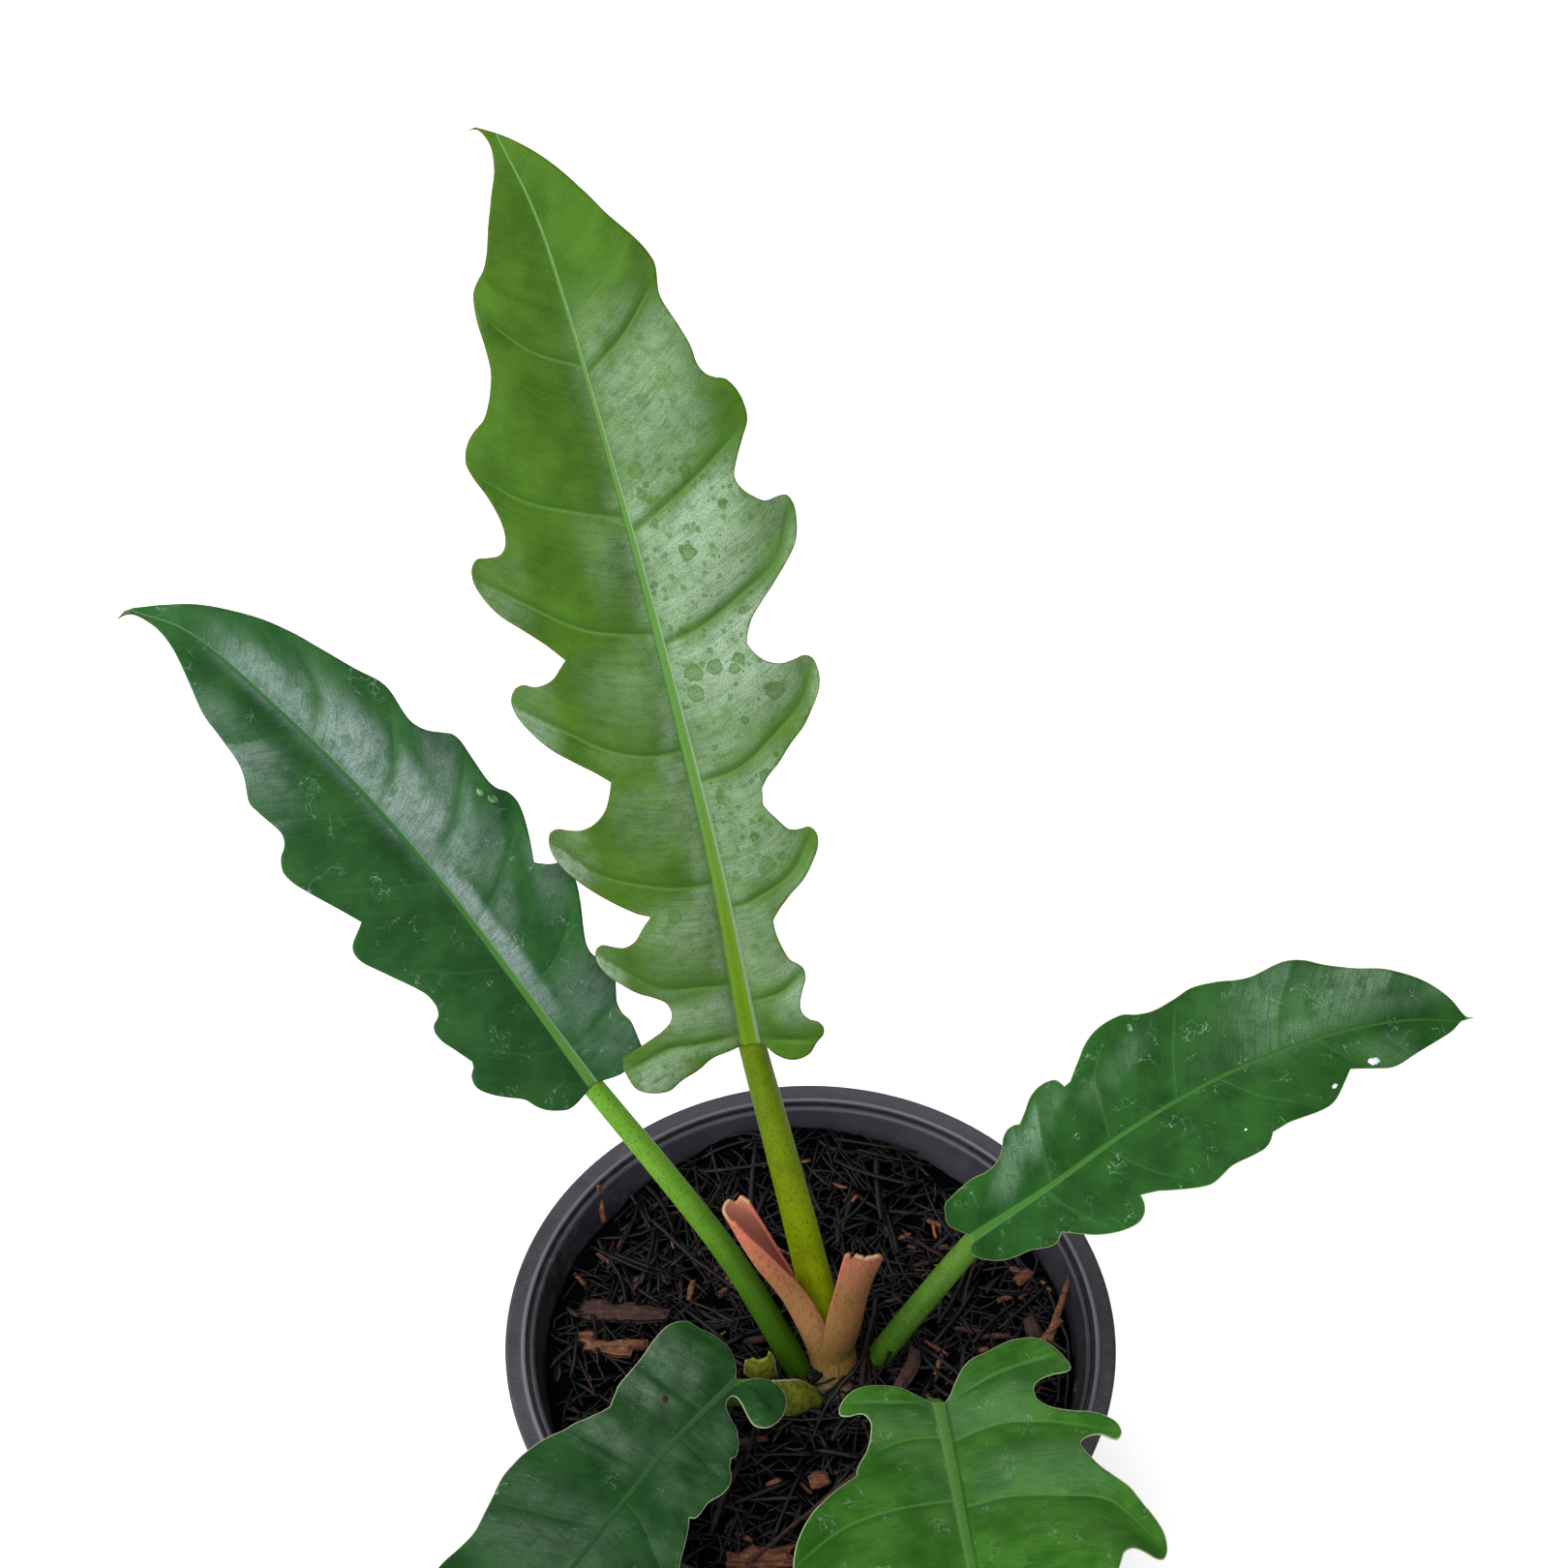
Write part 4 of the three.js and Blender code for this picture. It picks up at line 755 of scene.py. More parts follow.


# Where each blade is painted with sheen, a pale grey for its reflection of the bright sky, and where water
# has dried on it.
SHEEN_PATCHES = {
    "leaf_tall": [
        (10, 62, 11, 24, 0, 0.6), (14, 104, 15, 22, 0, 0.95), (14, 128, 15, 16, 0, 0.9),
        (12, 160, 12, 20, 0, 0.55), (5, 30, 6, 18, 0, 0.5), (-4, 60, 4, 46, 0, 0.45),
        (-11, 30, 11, 11, 0, 0.55), (-12, 62, 9, 11, 0, 0.3), (-8, 92, 12, 12, 0, 0.35),
        (-6, 125, 6, 14, 0, 0.25), (-33, 30, 5, 7, 20, 0.9), (-33, 60, 5, 7, 10, 0.9),
        (-33, 96, 5, 8, 0, 0.7), (-32, 126, 5, 8, 0, 0.4), (-12, 8, 12, 7, 0, 0.75),
        (-26, -2, 9, 5, 20, 0.7), (34, 92, 4, 12, 0, 0.5), (34, 124, 4, 12, 0, 0.5),
        (16, 14, 8, 9, 0, 0.75), (-24, 188, 4, 6, 0, 0.2),
    ],
    "leaf_left": [
        (2.4, 50, 2.4, 26, 0, 0.8), (6, 92, 6.5, 26, 0, 0.75), (3, 124, 4, 16, 0, 0.6),
        (14, 78, 4, 16, -25, 0.4), (12, 60, 3, 14, -28, 0.3), (-14, 124, 6, 12, 0, 0.5),
        (-17, 108, 5, 6, 0, 0.4), (12, 16, 8, 14, 0, 0.25), (22, 52, 4, 9, -20, 0.3),
    ],
    "leaf_right": [
        (-12, 112, 9, 26, 8, 0.7), (-14, 34, 3, 9, 30, 0.8), (-9.5, 20, 3, 9, 35, 0.6),
        (-14, 56, 3, 9, 20, 0.45), (8, 116, 5, 8, 0, 0.3), (-6, 84, 5, 14, 0, 0.15),
    ],
    "leaf_front_left": [
        (13, 36, 9, 5, 0, 0.7), (15, 12, 9, 10, 0, 0.85), (-10, 34, 6, 8, 0, 0.25), (0, 30, 8, 6, 0, 0.25),
        (10, 66, 16, 12, 10, 0.4), (-8, 14, 6, 8, 0, 0.2), (-12, 60, 8, 10, 0, 0.2),
    ],
    "leaf_front_right": [
        (-10, 6, 12, 9, 0, 0.4), (10, 12, 8, 8, 0, 0.3), (-20, 30, 16, 10, 0, 0.35),
        (4, 26, 5, 14, 0, 0.15),
    ],
}
WET_PATCHES = {
    "leaf_tall": [
        (14, 80, 16, 40, 0, 1.0), (14, 124, 18, 26, 0, 1.0), (-24, 80, 10, 56, 0, 0.7),
        (-8, 40, 12, 30, 0, 0.6), (-20, 2, 12, 8, 0, 0.8), (12, 160, 10, 14, 0, 0.5),
    ],
    "leaf_left": [(8, 84, 9, 46, 0, 0.5), (14, 20, 10, 20, 0, 0.3)],
    "leaf_right": [(-14, 100, 10, 36, 0, 0.5)],
    "leaf_front_left": [(0, 30, 18, 30, 0, 0.3)],
    "leaf_front_right": [(0, 40, 30, 40, 0, 0.3)],
}


# Stalks


# A stalk runs on under its blade as a keel: stations along the midrib, and the keel's radius at each as
# a share of the stalk's own at its top.
KEEL_STATIONS = [0.0, 8.0, 24.0, 48.0, 78.0]
KEEL_SHARES = [1.0, 0.76, 0.52, 0.34, 0.1]


def stalk_path(name):
    """The middle of a stalk and its keel, each point's share of the way to the blade, and its radius."""
    shape = STALK_SHAPES[name]
    foot, top = shape["foot"], shape["top"]
    stations, keel_radii = np.array(KEEL_STATIONS), top * np.array(KEEL_SHARES)
    midrib, facing, _ = blade_frame(LEAF_SHAPES[name.replace("petiole", "leaf")], stations)
    depth = keel_radii * shape["sink"] + 0.3 * blended(0, 15, stations)
    keel = midrib - facing * depth[:, None]
    path, distance = smooth_curve(shape["path"][:-1] + keel.tolist(), STALK_RINGS)
    visible = distance[-1] - stations[-1]
    share = np.clip(distance / visible, 0, 1)
    past_joint = distance - visible
    along_keel = np.interp(past_joint, stations, keel_radii)
    return path, share, np.where(past_joint > 0, along_keel, foot + (top - foot) * share)


def stalk_object(name):
    """A stalk that runs on under its blade as the midrib's keel."""
    path, share, radii = stalk_path(name)
    rings = tube_points(path, radii, STALK_SIDES, [0, 1, 0])
    angles = np.linspace(0, 2 * math.pi, STALK_SIDES, endpoint=False)
    ripple = 1 + 0.012 * np.sin(5 * angles)[None, :, None] + 0.008 * np.sin(9 * angles + 1)[None, :, None]
    centre = path[:, None]
    rings = centre + (rings - centre) * ripple
    stalk = solid_object(name + "_stalk", rings.reshape(-1, 3), tube_faces(STALK_RINGS, STALK_SIDES))
    shares = np.repeat(share, STALK_SIDES)
    add_uv(stalk, np.column_stack([np.tile(angles / (2 * math.pi), STALK_RINGS), shares]))
    add_attribute(stalk, "share", shares)
    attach(stalk, "root")
    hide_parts(name)
    return stalk


# Sheaths


def value_along(values, share):
    """A list of values, foot to tip, read smoothly at the given shares of the way."""
    places = np.linspace(0, 1, 201)
    straight = np.interp(places, np.linspace(0, 1, len(values)), values)
    window = 35
    before, after = np.full(window // 2, straight[0]), np.full(window // 2, straight[-1])
    padded = np.concatenate([before, straight, after])
    return np.interp(share, places, np.convolve(padded, np.ones(window) / window, mode="valid"))


def trough_surface(shape, across_steps, along_steps, end_share):
    """Points and outward directions of a trough. End share says how far up each strip of it reaches."""
    across = np.linspace(0, 1, across_steps + 1)
    along = np.linspace(0, 1, along_steps + 1)
    path, _ = smooth_curve(shape["path"], 200)
    share = along[:, None] * end_share(across)[None, :]
    marks = np.linspace(0, 1, len(path))
    centre = read_along(share, marks, path)
    direction = unit(read_along(share, marks, unit(np.gradient(path, axis=0))))
    front = unit(np.array([0, -1, 0]) + direction * direction[..., 1:2])
    right = np.cross(direction, front)
    first = value_along(shape["first_angle"], share)
    last = value_along(shape["last_angle"], share)
    angle = np.radians(first + (last - first) * across[None, :])[..., None]
    outward = right * np.cos(angle) + front * np.sin(angle)
    radius = value_along(shape["radius"], share)[..., None]
    return centre + outward * radius, outward, share


def sheet_arrays(middle, outward, thickness):
    """Points and faces of a sheet of that thickness, in rows along and columns across."""
    rows, columns = middle.shape[:2]
    half = thickness / 2
    points = np.vstack([(middle + outward * half).reshape(-1, 3), (middle - outward * half).reshape(-1, 3)])
    count = rows * columns
    outer = ring_faces(rows, columns, closed=False)
    faces = [face[::-1] for face in outer] + shifted(outer, count)
    border = list(range(columns)) + [row * columns + columns - 1 for row in range(1, rows)]
    border += [count - 1 - step for step in range(1, columns)]
    border += [row * columns for row in range(rows - 2, 0, -1)]
    for start, end in zip(border, border[1:] + border[:1]):
        faces.append((start, end, count + end, count + start))
    return points, faces


CATAPHYLL_ARMS = {
    "left": {
        "path": [[6.4, 0.6, 109], [4.4, 3.6, 117], [-1.6, 6, 130.9], [-10.4, 7, 149.2], [-17.9, 8, 170.3]],
        "radius": [6, 4.8, 3.1, 3.3, 3.1],
        "first_angle": [80, 50, 22, 48, 112],
        "last_angle": [200, 210, 290, 330, 350],
    },
    "right": {
        "path": [[6.4, 0.6, 109], [4.8, 3.4, 117], [8.4, 3, 133.6], [10.8, 2.6, 149.6], [13.0, 3.2, 164.4]],
        "radius": [5.6, 6.2, 4.1, 4.0, 5.6],
        "first_angle": [-60, -60, -50, -8, 34],
        "last_angle": [118, 114, 160, 165, 140],
    },
}
SHEATH_SHAPE = {
    "path": [[1.2, -9.0, 109.4], [-4.6, -10.6, 113.6], [-11.6, -12.6, 118.3]],
    "radius": [2.6, 5.0, 4.5],
    "first_angle": [-35, -30, -20],
    "last_angle": [150, 150, 150],
}
# A torn strip of the sheath that stands up behind its collar.
FLAP_SHAPE = {
    "path": [[-12.2, -2.8, 116.4], [-12.2, -2.4, 121], [-12.4, -2, 126.4]],
    "radius": [4.8, 4.6, 4.4],
    "first_angle": [40, 44, 48],
    "last_angle": [145, 142, 138],
}


def left_arm_end(across):
    return 1 - 0.02 * np.cos(across * 9) - 0.015 * np.sin(across * 23)


def right_arm_end(across):
    torn = (0.06 * np.exp(-((across - 0.84) / 0.05) ** 2)
            + 0.01 * np.sin(across * 13) + 0.006 * np.sin(across * 37))
    sides = 0.05 * blended(0.75, 1.0, across) + 0.10 * blended(0.2, 0.0, across)
    return 1 - torn - sides


def sheath_end(across):
    return 1 - 0.05 * np.sin(across * 17) ** 2


def flap_end(across):
    tooth = 0.3 * np.exp(-((across - 0.1) / 0.06) ** 2)
    return 0.8 + tooth + 0.03 * np.sin(across * 9) - 0.25 * blended(0.7, 1.0, across)


def sheet_object(name, surfaces, thickness):
    """One object of several sheets, each made of middle points, outward directions and shares along."""
    points, faces, shares, edges = [], [], [], []
    for middle, outward, share in surfaces:
        sheet, sheet_faces = sheet_arrays(middle, outward, thickness)
        start = sum(len(part) for part in points)
        points.append(sheet)
        faces += shifted(sheet_faces, start)
        rows, columns = share.shape
        across = np.tile(np.linspace(0, 1, columns), rows)
        shares.append(np.tile(share.ravel(), 2))
        edges.append(np.tile(np.minimum(across, 1 - across), 2))
    piece = solid_object(name + "_sheet", np.vstack(points), faces)
    sizes = [len(part) for part in points]
    add_attribute(piece, "share", np.concatenate(shares))
    add_attribute(piece, "edge", np.concatenate(edges))
    add_attribute(piece, "sheet", np.repeat(np.arange(len(points), dtype=float), sizes))
    add_attribute(piece, "inner", np.concatenate([np.repeat([0.0, 1.0], size // 2) for size in sizes]))
    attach(piece, "root")
    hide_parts(name)
    return piece


def cataphyll_object():
    left = trough_surface(CATAPHYLL_ARMS["left"], 48, 110, left_arm_end)
    right = trough_surface(CATAPHYLL_ARMS["right"], 48, 100, right_arm_end)
    return sheet_object("cataphyll", [left, right], SHEATH_THICKNESS)


def sheath_object():
    collar = trough_surface(SHEATH_SHAPE, 40, 40, sheath_end)
    flap = trough_surface(FLAP_SHAPE, 30, 30, flap_end)
    return sheet_object("leaf_sheath", [collar, flap], SHEATH_THICKNESS)


# Pot


def pot_profile():
    """The pot's section as (radius, height), from under its middle round the rim to its floor's middle."""
    top, foot, soil, rim = POT_HEIGHT, POT_HEIGHT - SKIRT_DROP, SOIL_LINE_RADIUS, RIM_RADIUS
    outside = [
        (0, 0), (BASE_RADIUS - 1, 0), (BASE_RADIUS - 0.3, 0.3), (BASE_RADIUS, 1),
        (soil + WALL, SOIL_HEIGHT - 2), (soil + 3.4, top - 4.2),
    ]
    skirt = [
        (rim - 3.2, top - 3.2), (rim - 2.6, top - 3.8), (rim - 3, foot + 0.3), (rim - 2.7, foot),
        (rim - 1.9, foot), (rim - 1.6, foot + 0.4), (rim, top - 0.9), (rim, top - 0.4),
        (rim - 0.35, top - 0.2), (rim - 1, top - 0.1), (rim - 3.4, top - 0.45),
    ]
    bead = [(rim - 4.45 + 0.75 * math.cos(angle), top - 0.75 + 0.75 * math.sin(angle))
            for angle in np.linspace(0.2 * math.pi, 0.95 * math.pi, 9)]
    groove = [(rim - 5.35, top - 1.5), (rim - 5.65, top - 1.5)]
    second_bead = [(rim - 6.5 + 0.85 * math.cos(angle), top - 1.65 + 0.85 * math.sin(angle))
                   for angle in np.linspace(0.3 * math.pi, 1.0 * math.pi, 8)]
    inside = [
        (rim - 7.7, top - 3.4), (soil + 0.2, SOIL_HEIGHT), (soil - 0.4, SOIL_HEIGHT - 4),
        (BASE_RADIUS - WALL, FLOOR + 1), (BASE_RADIUS - WALL - 1, FLOOR), (0, FLOOR),
    ]
    return outside + skirt + bead + groove + second_bead + inside


def lathe_arrays(profile, sides):
    """Points and faces of a profile turned round the upright axis. It starts and ends on the axis."""
    angles = np.linspace(0, 2 * math.pi, sides, endpoint=False)
    inner = np.array(profile[1:-1], dtype=float)
    rings = np.stack([inner[:, 0:1] * np.cos(angles), inner[:, 0:1] * np.sin(angles),
                      np.repeat(inner[:, 1:2], sides, axis=1)], axis=-1)
    points = np.vstack([rings.reshape(-1, 3), [[0, 0, profile[0][1]], [0, 0, profile[-1][1]]]])
    faces = ring_faces(len(inner), sides)
    first, last = len(points) - 2, len(points) - 1
    for side in range(sides):
        after = (side + 1) % sides
        faces.append((first, after, side))
        top = (len(inner) - 1) * sides
        faces.append((last, top + side, top + after))
    return points, faces


def cut_drain_holes(pot):
    """Takes the drain holes out of the pot's floor."""
    cutter_mesh = bpy.data.meshes.new("drain_cutter")
    shape = bmesh.new()
    for index in range(DRAIN_HOLES):
        angle = 2 * math.pi * index / DRAIN_HOLES
        made = bmesh.ops.create_cone(shape, cap_ends=True, segments=32, radius1=DRAIN_HOLE_RADIUS * MM,
                                     radius2=DRAIN_HOLE_RADIUS * MM, depth=8 * FLOOR * MM)
        x, y = DRAIN_RING_RADIUS * math.cos(angle), DRAIN_RING_RADIUS * math.sin(angle)
        bmesh.ops.translate(shape, verts=made["verts"], vec=Vector((x, y, FLOOR / 2)) * MM)
    shape.to_mesh(cutter_mesh)
    shape.free()
    cutter = bpy.data.objects.new("drain_cutter", cutter_mesh)
    bpy.context.scene.collection.objects.link(cutter)
    cut = pot.modifiers.new("holes", "BOOLEAN")
    cut.object = cutter
    cut.operation = "DIFFERENCE"
    cut.solver = "EXACT"
    bpy.context.view_layer.update()
    depsgraph = bpy.context.evaluated_depsgraph_get()
    finished = bpy.data.meshes.new_from_object(pot.evaluated_get(depsgraph))
    pot.modifiers.clear()
    pot.data = finished
    bpy.data.objects.remove(cutter)


def pot_object():
    points, faces = lathe_arrays(pot_profile(), POT_SIDES)
    pot = solid_object("nursery_pot", points, faces)
    cut_drain_holes(pot)
    pot.data.set_sharp_from_angle(angle=math.radians(38))
    # How far back and how far out each point lies, which place the painted reflection, highlight and shade
    # in the pot's paint.
    add_attribute(pot, "depth", [vertex.co.y / MM for vertex in pot.data.vertices])
    add_attribute(pot, "radius", [vertex.co.xy.length / MM for vertex in pot.data.vertices])
    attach(pot, "root")
    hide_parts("pot")
    return pot


# Potting mix and what lies in it


# Where the mix is heaped up: x, y, how wide in x, how wide in y, and how high.
SOIL_HUMPS = [(-8, 62, 42, 22, 7.0), (-62, 14, 22, 40, 3.5), (62, 0, 16, 30, 1.5)]
CROWN_PLACE = (4.5, -3)


def soil_height(x, y):
    """The height of the mix: heaped against the walls, with clods and hollows, and even at the crown."""
    places = np.column_stack([x, y])
    height = np.full(len(x), SOIL_HEIGHT - 0.4)
    for hump_x, hump_y, width, length, rise in SOIL_HUMPS:
        height += rise * np.exp(-((x - hump_x) / width) ** 2 - ((y - hump_y) / length) ** 2)
    height += 1.1 * waves(places, (34, 19), SEED + 1) + 0.8 * waves(places, (9, 6), SEED + 2)
    height += 0.4 * waves(places, (3.4, 2.2), SEED + 3)
    from_crown = np.hypot(x - CROWN_PLACE[0], y - CROWN_PLACE[1])
    return height + (SOIL_HEIGHT - 0.8 - height) * np.exp(-(from_crown / 12) ** 2)


def wall_radius(height):
    """The radius of the pot's inner wall at a height above the soil line or just below it."""
    slope = (RIM_RADIUS - 7.9 - SOIL_LINE_RADIUS) / (POT_HEIGHT - 3.4 - SOIL_HEIGHT)
    return SOIL_LINE_RADIUS - 0.3 + slope * (height - SOIL_HEIGHT)


def soil_object():
    """The mix as one closed body: a rough top, a side that follows the wall, and a flat foot."""
    radius = SOIL_LINE_RADIUS - 0.1
    sides = 400
    angles = np.linspace(0, 2 * math.pi, sides, endpoint=False)
    outline = radius * np.column_stack([np.cos(angles), np.sin(angles)])
    flat, triangles = filled_outline(outline, SOIL_CELL)
    height = soil_height(flat[:, 0], flat[:, 1])
    from_middle = np.linalg.norm(flat, axis=1) / radius
    flat = flat * (1 + (wall_radius(height) / radius - 1) * from_middle ** 6)[:, None]
    foot_radius, foot_height = BASE_RADIUS - WALL - GAP - 1, FLOOR + GAP
    foot = np.column_stack([foot_radius * np.cos(angles), foot_radius * np.sin(angles),
                            np.full(sides, foot_height)])
    points = np.vstack([np.column_stack([flat, height]), foot, [[0, 0, foot_height]]])
    count = len(flat)
    faces = [tuple(face) for face in triangles.tolist()]
    for side in range(sides):
        after = (side + 1) % sides
        faces.append((side, count + side, count + after, after))
        faces.append((count + sides, count + after, count + side))
    soil = solid_object("potting_mix_bed", points, faces)
    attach(soil, "root")
    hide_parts("potting_mix")
    return soil


def shred_arrays(chance, count, lengths, widths, tints, lift):
    """Many loose shreds of fibre that lie across each other on the mix, with a tint for each point."""
    points, faces, tint = [], [], []
    sides, steps = 5, 5
    for _ in range(count):
        shortest = lengths[0] if chance.random() < 0.75 else lengths[1] * 0.6
        length = chance.uniform(shortest, lengths[1])
        width = chance.uniform(*widths)
        radius = (SOIL_LINE_RADIUS - 2) * math.sqrt(chance.random())
        around, heading = chance.uniform(0, 2 * math.pi, 2)
        along = np.linspace(-0.5, 0.5, steps) * length
        bend = chance.normal() * 0.05 * length
        aside = bend * (1 - (2 * along / length) ** 2)
        x = radius * math.cos(around) + along * math.cos(heading) - aside * math.sin(heading)
        y = radius * math.sin(around) + along * math.sin(heading) + aside * math.cos(heading)

        # kept inside the wall, and laid half on the ground and half across its high spots
        limit = wall_radius(soil_height(x, y)) - 0.9
        scale = np.minimum(1, limit / np.maximum(np.hypot(x, y), 1e-6))
        x, y = x * scale, y * scale
        ground = soil_height(x, y)
        rest = max(ground[0], ground[-1], ground[steps // 2] - 0.3)
        tilt = chance.normal() * 0.06 * along
        z = 0.5 * ground + 0.5 * rest + tilt + chance.uniform(*lift) + 0.35 * width

        thinning = 0.75 + 0.25 * np.cos(np.linspace(-1.2, 1.2, steps))
        taper = width / 2 * thinning * chance.uniform(0.85, 1.15, steps)
        squash, roll = chance.uniform(0.35, 0.8), chance.uniform(0, 3)
        rings = tube_points(np.column_stack([x, y, z]), taper, sides, [0, 0, 1], squash, roll)
        faces += shifted(tube_faces(steps, sides), len(points) * sides * steps)
        points.append(rings.reshape(-1, 3))
        tint.append(np.full(sides * steps, chance.choice(tints)))
    return np.vstack(points), faces, np.concatenate(tint)


def shreds_object(name, seed, count, lengths, widths, tints, lift):
    """Shreds of one kind in one mesh, with ranges for their length, width and height above the mix."""
    chance = np.random.default_rng(seed)
    points, faces, tint = shred_arrays(chance, count, lengths, widths, tints, lift)
    shreds = solid_object(name, points, faces)
    add_attribute(shreds, "tint", tint)
    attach(shreds, "root")
    return shreds


DARK_TINTS = [0.0, 0.0, 0.0, 0.05, 0.1, 0.2, 0.35, 0.46]
BROWN_TINTS = [0.42, 0.5, 0.55, 0.6, 0.9]
# The kinds of shreds: name, seed, how many, and their lengths, widths, tints and height above the mix.
MIX_SHREDS = [
    ("potting_mix_needles", SEED + 10, 1500, (4, 16), (0.45, 0.95), DARK_TINTS, (0.0, 1.6)),
    ("potting_mix_shreds", SEED + 11, 240, (6, 24), (0.9, 1.7), DARK_TINTS, (0.2, 2.0)),
    ("potting_mix_bits", SEED + 12, 170, (1.5, 6), (0.6, 1.6), BROWN_TINTS, (0.4, 1.4)),
]

# Chips that lie where the frame has them. Outlines are in shares of the chip's length and width.
PLAIN_CHIP = [(-0.5, -0.38), (-0.1, -0.5), (0.5, -0.42), (0.46, 0.3), (0.05, 0.5), (-0.46, 0.36)]
CHIPS = {
    "bark_red": {
        "size": (23, 6.6, 2.8), "at": (-46.5, 12.5), "turn": -3, "slot": "bark",
        "outline": [(-0.5, 0), (-0.43, 0.44), (-0.22, 0.46), (-0.11, 0.2), (0.07, 0.4), (0.17, 0.3),
                    (0.5, 0.1), (0.47, -0.27), (0.15, -0.42), (-0.09, -0.39), (-0.34, -0.5),
                    (-0.49, -0.38)],
    },
    "wood_orange": {
        "size": (18, 5, 2.2), "at": (-49, 1.8), "turn": -2, "slot": "wood_bits",
        "outline": [(-0.5, 0.36), (-0.33, 0.5), (-0.06, 0.24), (0.17, 0.42), (0.48, 0.44), (0.48, 0),
                    (0.28, -0.12), (0.25, -0.5), (0.08, -0.52), (-0.22, -0.3), (-0.41, -0.2), (-0.39, 0.1)],
    },
    "chip_brown": {
        "size": (12.8, 4.6, 2), "at": (24.6, -3.4), "turn": 68, "slot": "bark",
        "outline": [(-0.5, -0.1), (-0.44, 0.5), (-0.1, 0.42), (0.2, 0.34), (0.5, 0.5), (0.48, -0.1),
                    (0.2, -0.42), (-0.2, -0.36)],
    },
    "chip_square": {"size": (5.2, 4.6, 2), "at": (1.9, -33.5), "turn": 20, "slot": "wood_bits"},
    "chip_right": {"size": (6.5, 4, 2.4), "at": (55.5, 8.5), "turn": 110, "slot": "bark"},
    "chip_back": {"size": (5.5, 3.2, 1.8), "at": (54, 23.5), "turn": 40, "slot": "wood_bits"},
    "wood_front": {
        "size": (17, 6.6, 3), "at": (-12, -54.5), "turn": 4, "slot": "wood_bits",
        "outline": [(-0.5, -0.3), (-0.1, -0.5), (0.5, -0.4), (0.4, 0.1), (0.5, 0.4), (0.1, 0.3),
                    (-0.1, 0.5), (-0.3, 0.2), (-0.48, 0.3)],
    },
}
# Smaller loose bits that only the finished look has: where, length, width, turn, and what they are.
LOOSE_BITS = [
    (-55.5, 5.5, 4.4, 1.8, 5, "wood_bits"), (-44, 22, 4.6, 2.0, 60, "wood_bits"),
    (-30, 20, 6.5, 1.8, 80, "wood_bits"), (-22, 20, 3.5, 1.6, 35, "wood_bits"),
    (-28, 31, 3, 1.4, 70, "wood_bits"), (-24, 27, 7.5, 1.6, -48, "bark"), (-14, 6, 6, 2.2, 10, "bark"),
    (46, 7, 9, 1.6, 4, "bark"), (40, 9, 8, 1.4, -8, "bark"), (49, 18, 4.2, 1.6, 20, "wood_bits"),
    (52, 26, 3.4, 1.6, -20, "wood_bits"), (43, 3, 3, 1.4, 15, "wood_bits"),
    (31.5, 4, 7.5, 1.2, -35, "wood_bits"), (66, -8, 5, 1.6, 70, "wood_bits"),
    (-9, -34, 4.4, 2.6, 30, "wood_bits"), (-14, -22, 7.5, 2.2, 12, "bark"), (-27, -40, 4, 1.4, 40, "bark"),
    (20, 38, 4.8, 2, 80, "wood_bits"), (32, 40, 4.6, 1.8, -25, "wood_bits"),
    (-2, 44, 3.4, 1.2, 20, "wood_bits"), (12, 52, 3.6, 1.3, 70, "bark"),
    (34, 33, 2.8, 1.4, 15, "wood_bits"), (26, 33, 2.4, 1.2, -20, "wood_bits"),
    (-38, 45, 5, 1.2, 40, "bark"), (-52, 28, 5, 1.3, -40, "wood_bits"), (58, -2, 5, 1.6, 40, "bark"),
    (-16, -48, 5, 1.4, -30, "wood_bits"), (13, -46, 4, 1.5, 50, "bark"), (-33, -2, 5, 1.4, 25, "bark"),
    (-58, 22, 4.6, 1.2, -50, "wood_bits"),
]


def chip_arrays(outline, length, width, thickness, seed):
    """A split chip with a rough top and ragged ends: points, faces and its flat coordinates."""
    corners = np.array(outline) * (length, width)
    count = max(3, round(1.6 * (length + width) / len(corners)))
    steps = np.linspace(0, 1, count, endpoint=False)[:, None]
    sides = zip(corners, np.roll(corners, -1, axis=0))
    rough = np.vstack([start + (end - start) * steps for start, end in sides])
    rough = rough + 0.07 * width * waves(rough, (4, 1.6), seed)[:, None] * unit(rough)
    flat, triangles = filled_outline(rough, CHIP_CELL)
    edge, _ = outline_distance(flat, rough)
    top = thickness * (0.5 + 0.5 * blended(0, 0.25 * width, edge))
    top = top + 0.25 * waves(flat * (0.25, 1.6), (2.2, 1.1), seed + 1) * blended(0, 0.5, edge)
    top = top + 0.25 * waves(flat, (7, 3), seed + 2) * blended(0, 1.5, edge)
    count, border = len(flat), len(rough)
    points = np.vstack([np.column_stack([flat, top]), np.column_stack([flat, np.zeros(count)])])
    margin = [(start, (start + 1) % border) for start in range(border)]
    faces = both_sides(triangles, count)
    faces += [(end, start, count + start, count + end) for start, end in margin]
    return points, faces, np.vstack([flat, flat + (0, 2 * width)])


def turned(points, degrees, place):
    """Points turned about the upright axis and moved to a place."""
    turn = math.radians(degrees)
    x = points[:, 0] * math.cos(turn) - points[:, 1] * math.sin(turn) + place[0]
    y = points[:, 0] * math.sin(turn) + points[:, 1] * math.cos(turn) + place[1]
    return np.column_stack([x, y, points[:, 2] + place[2]])


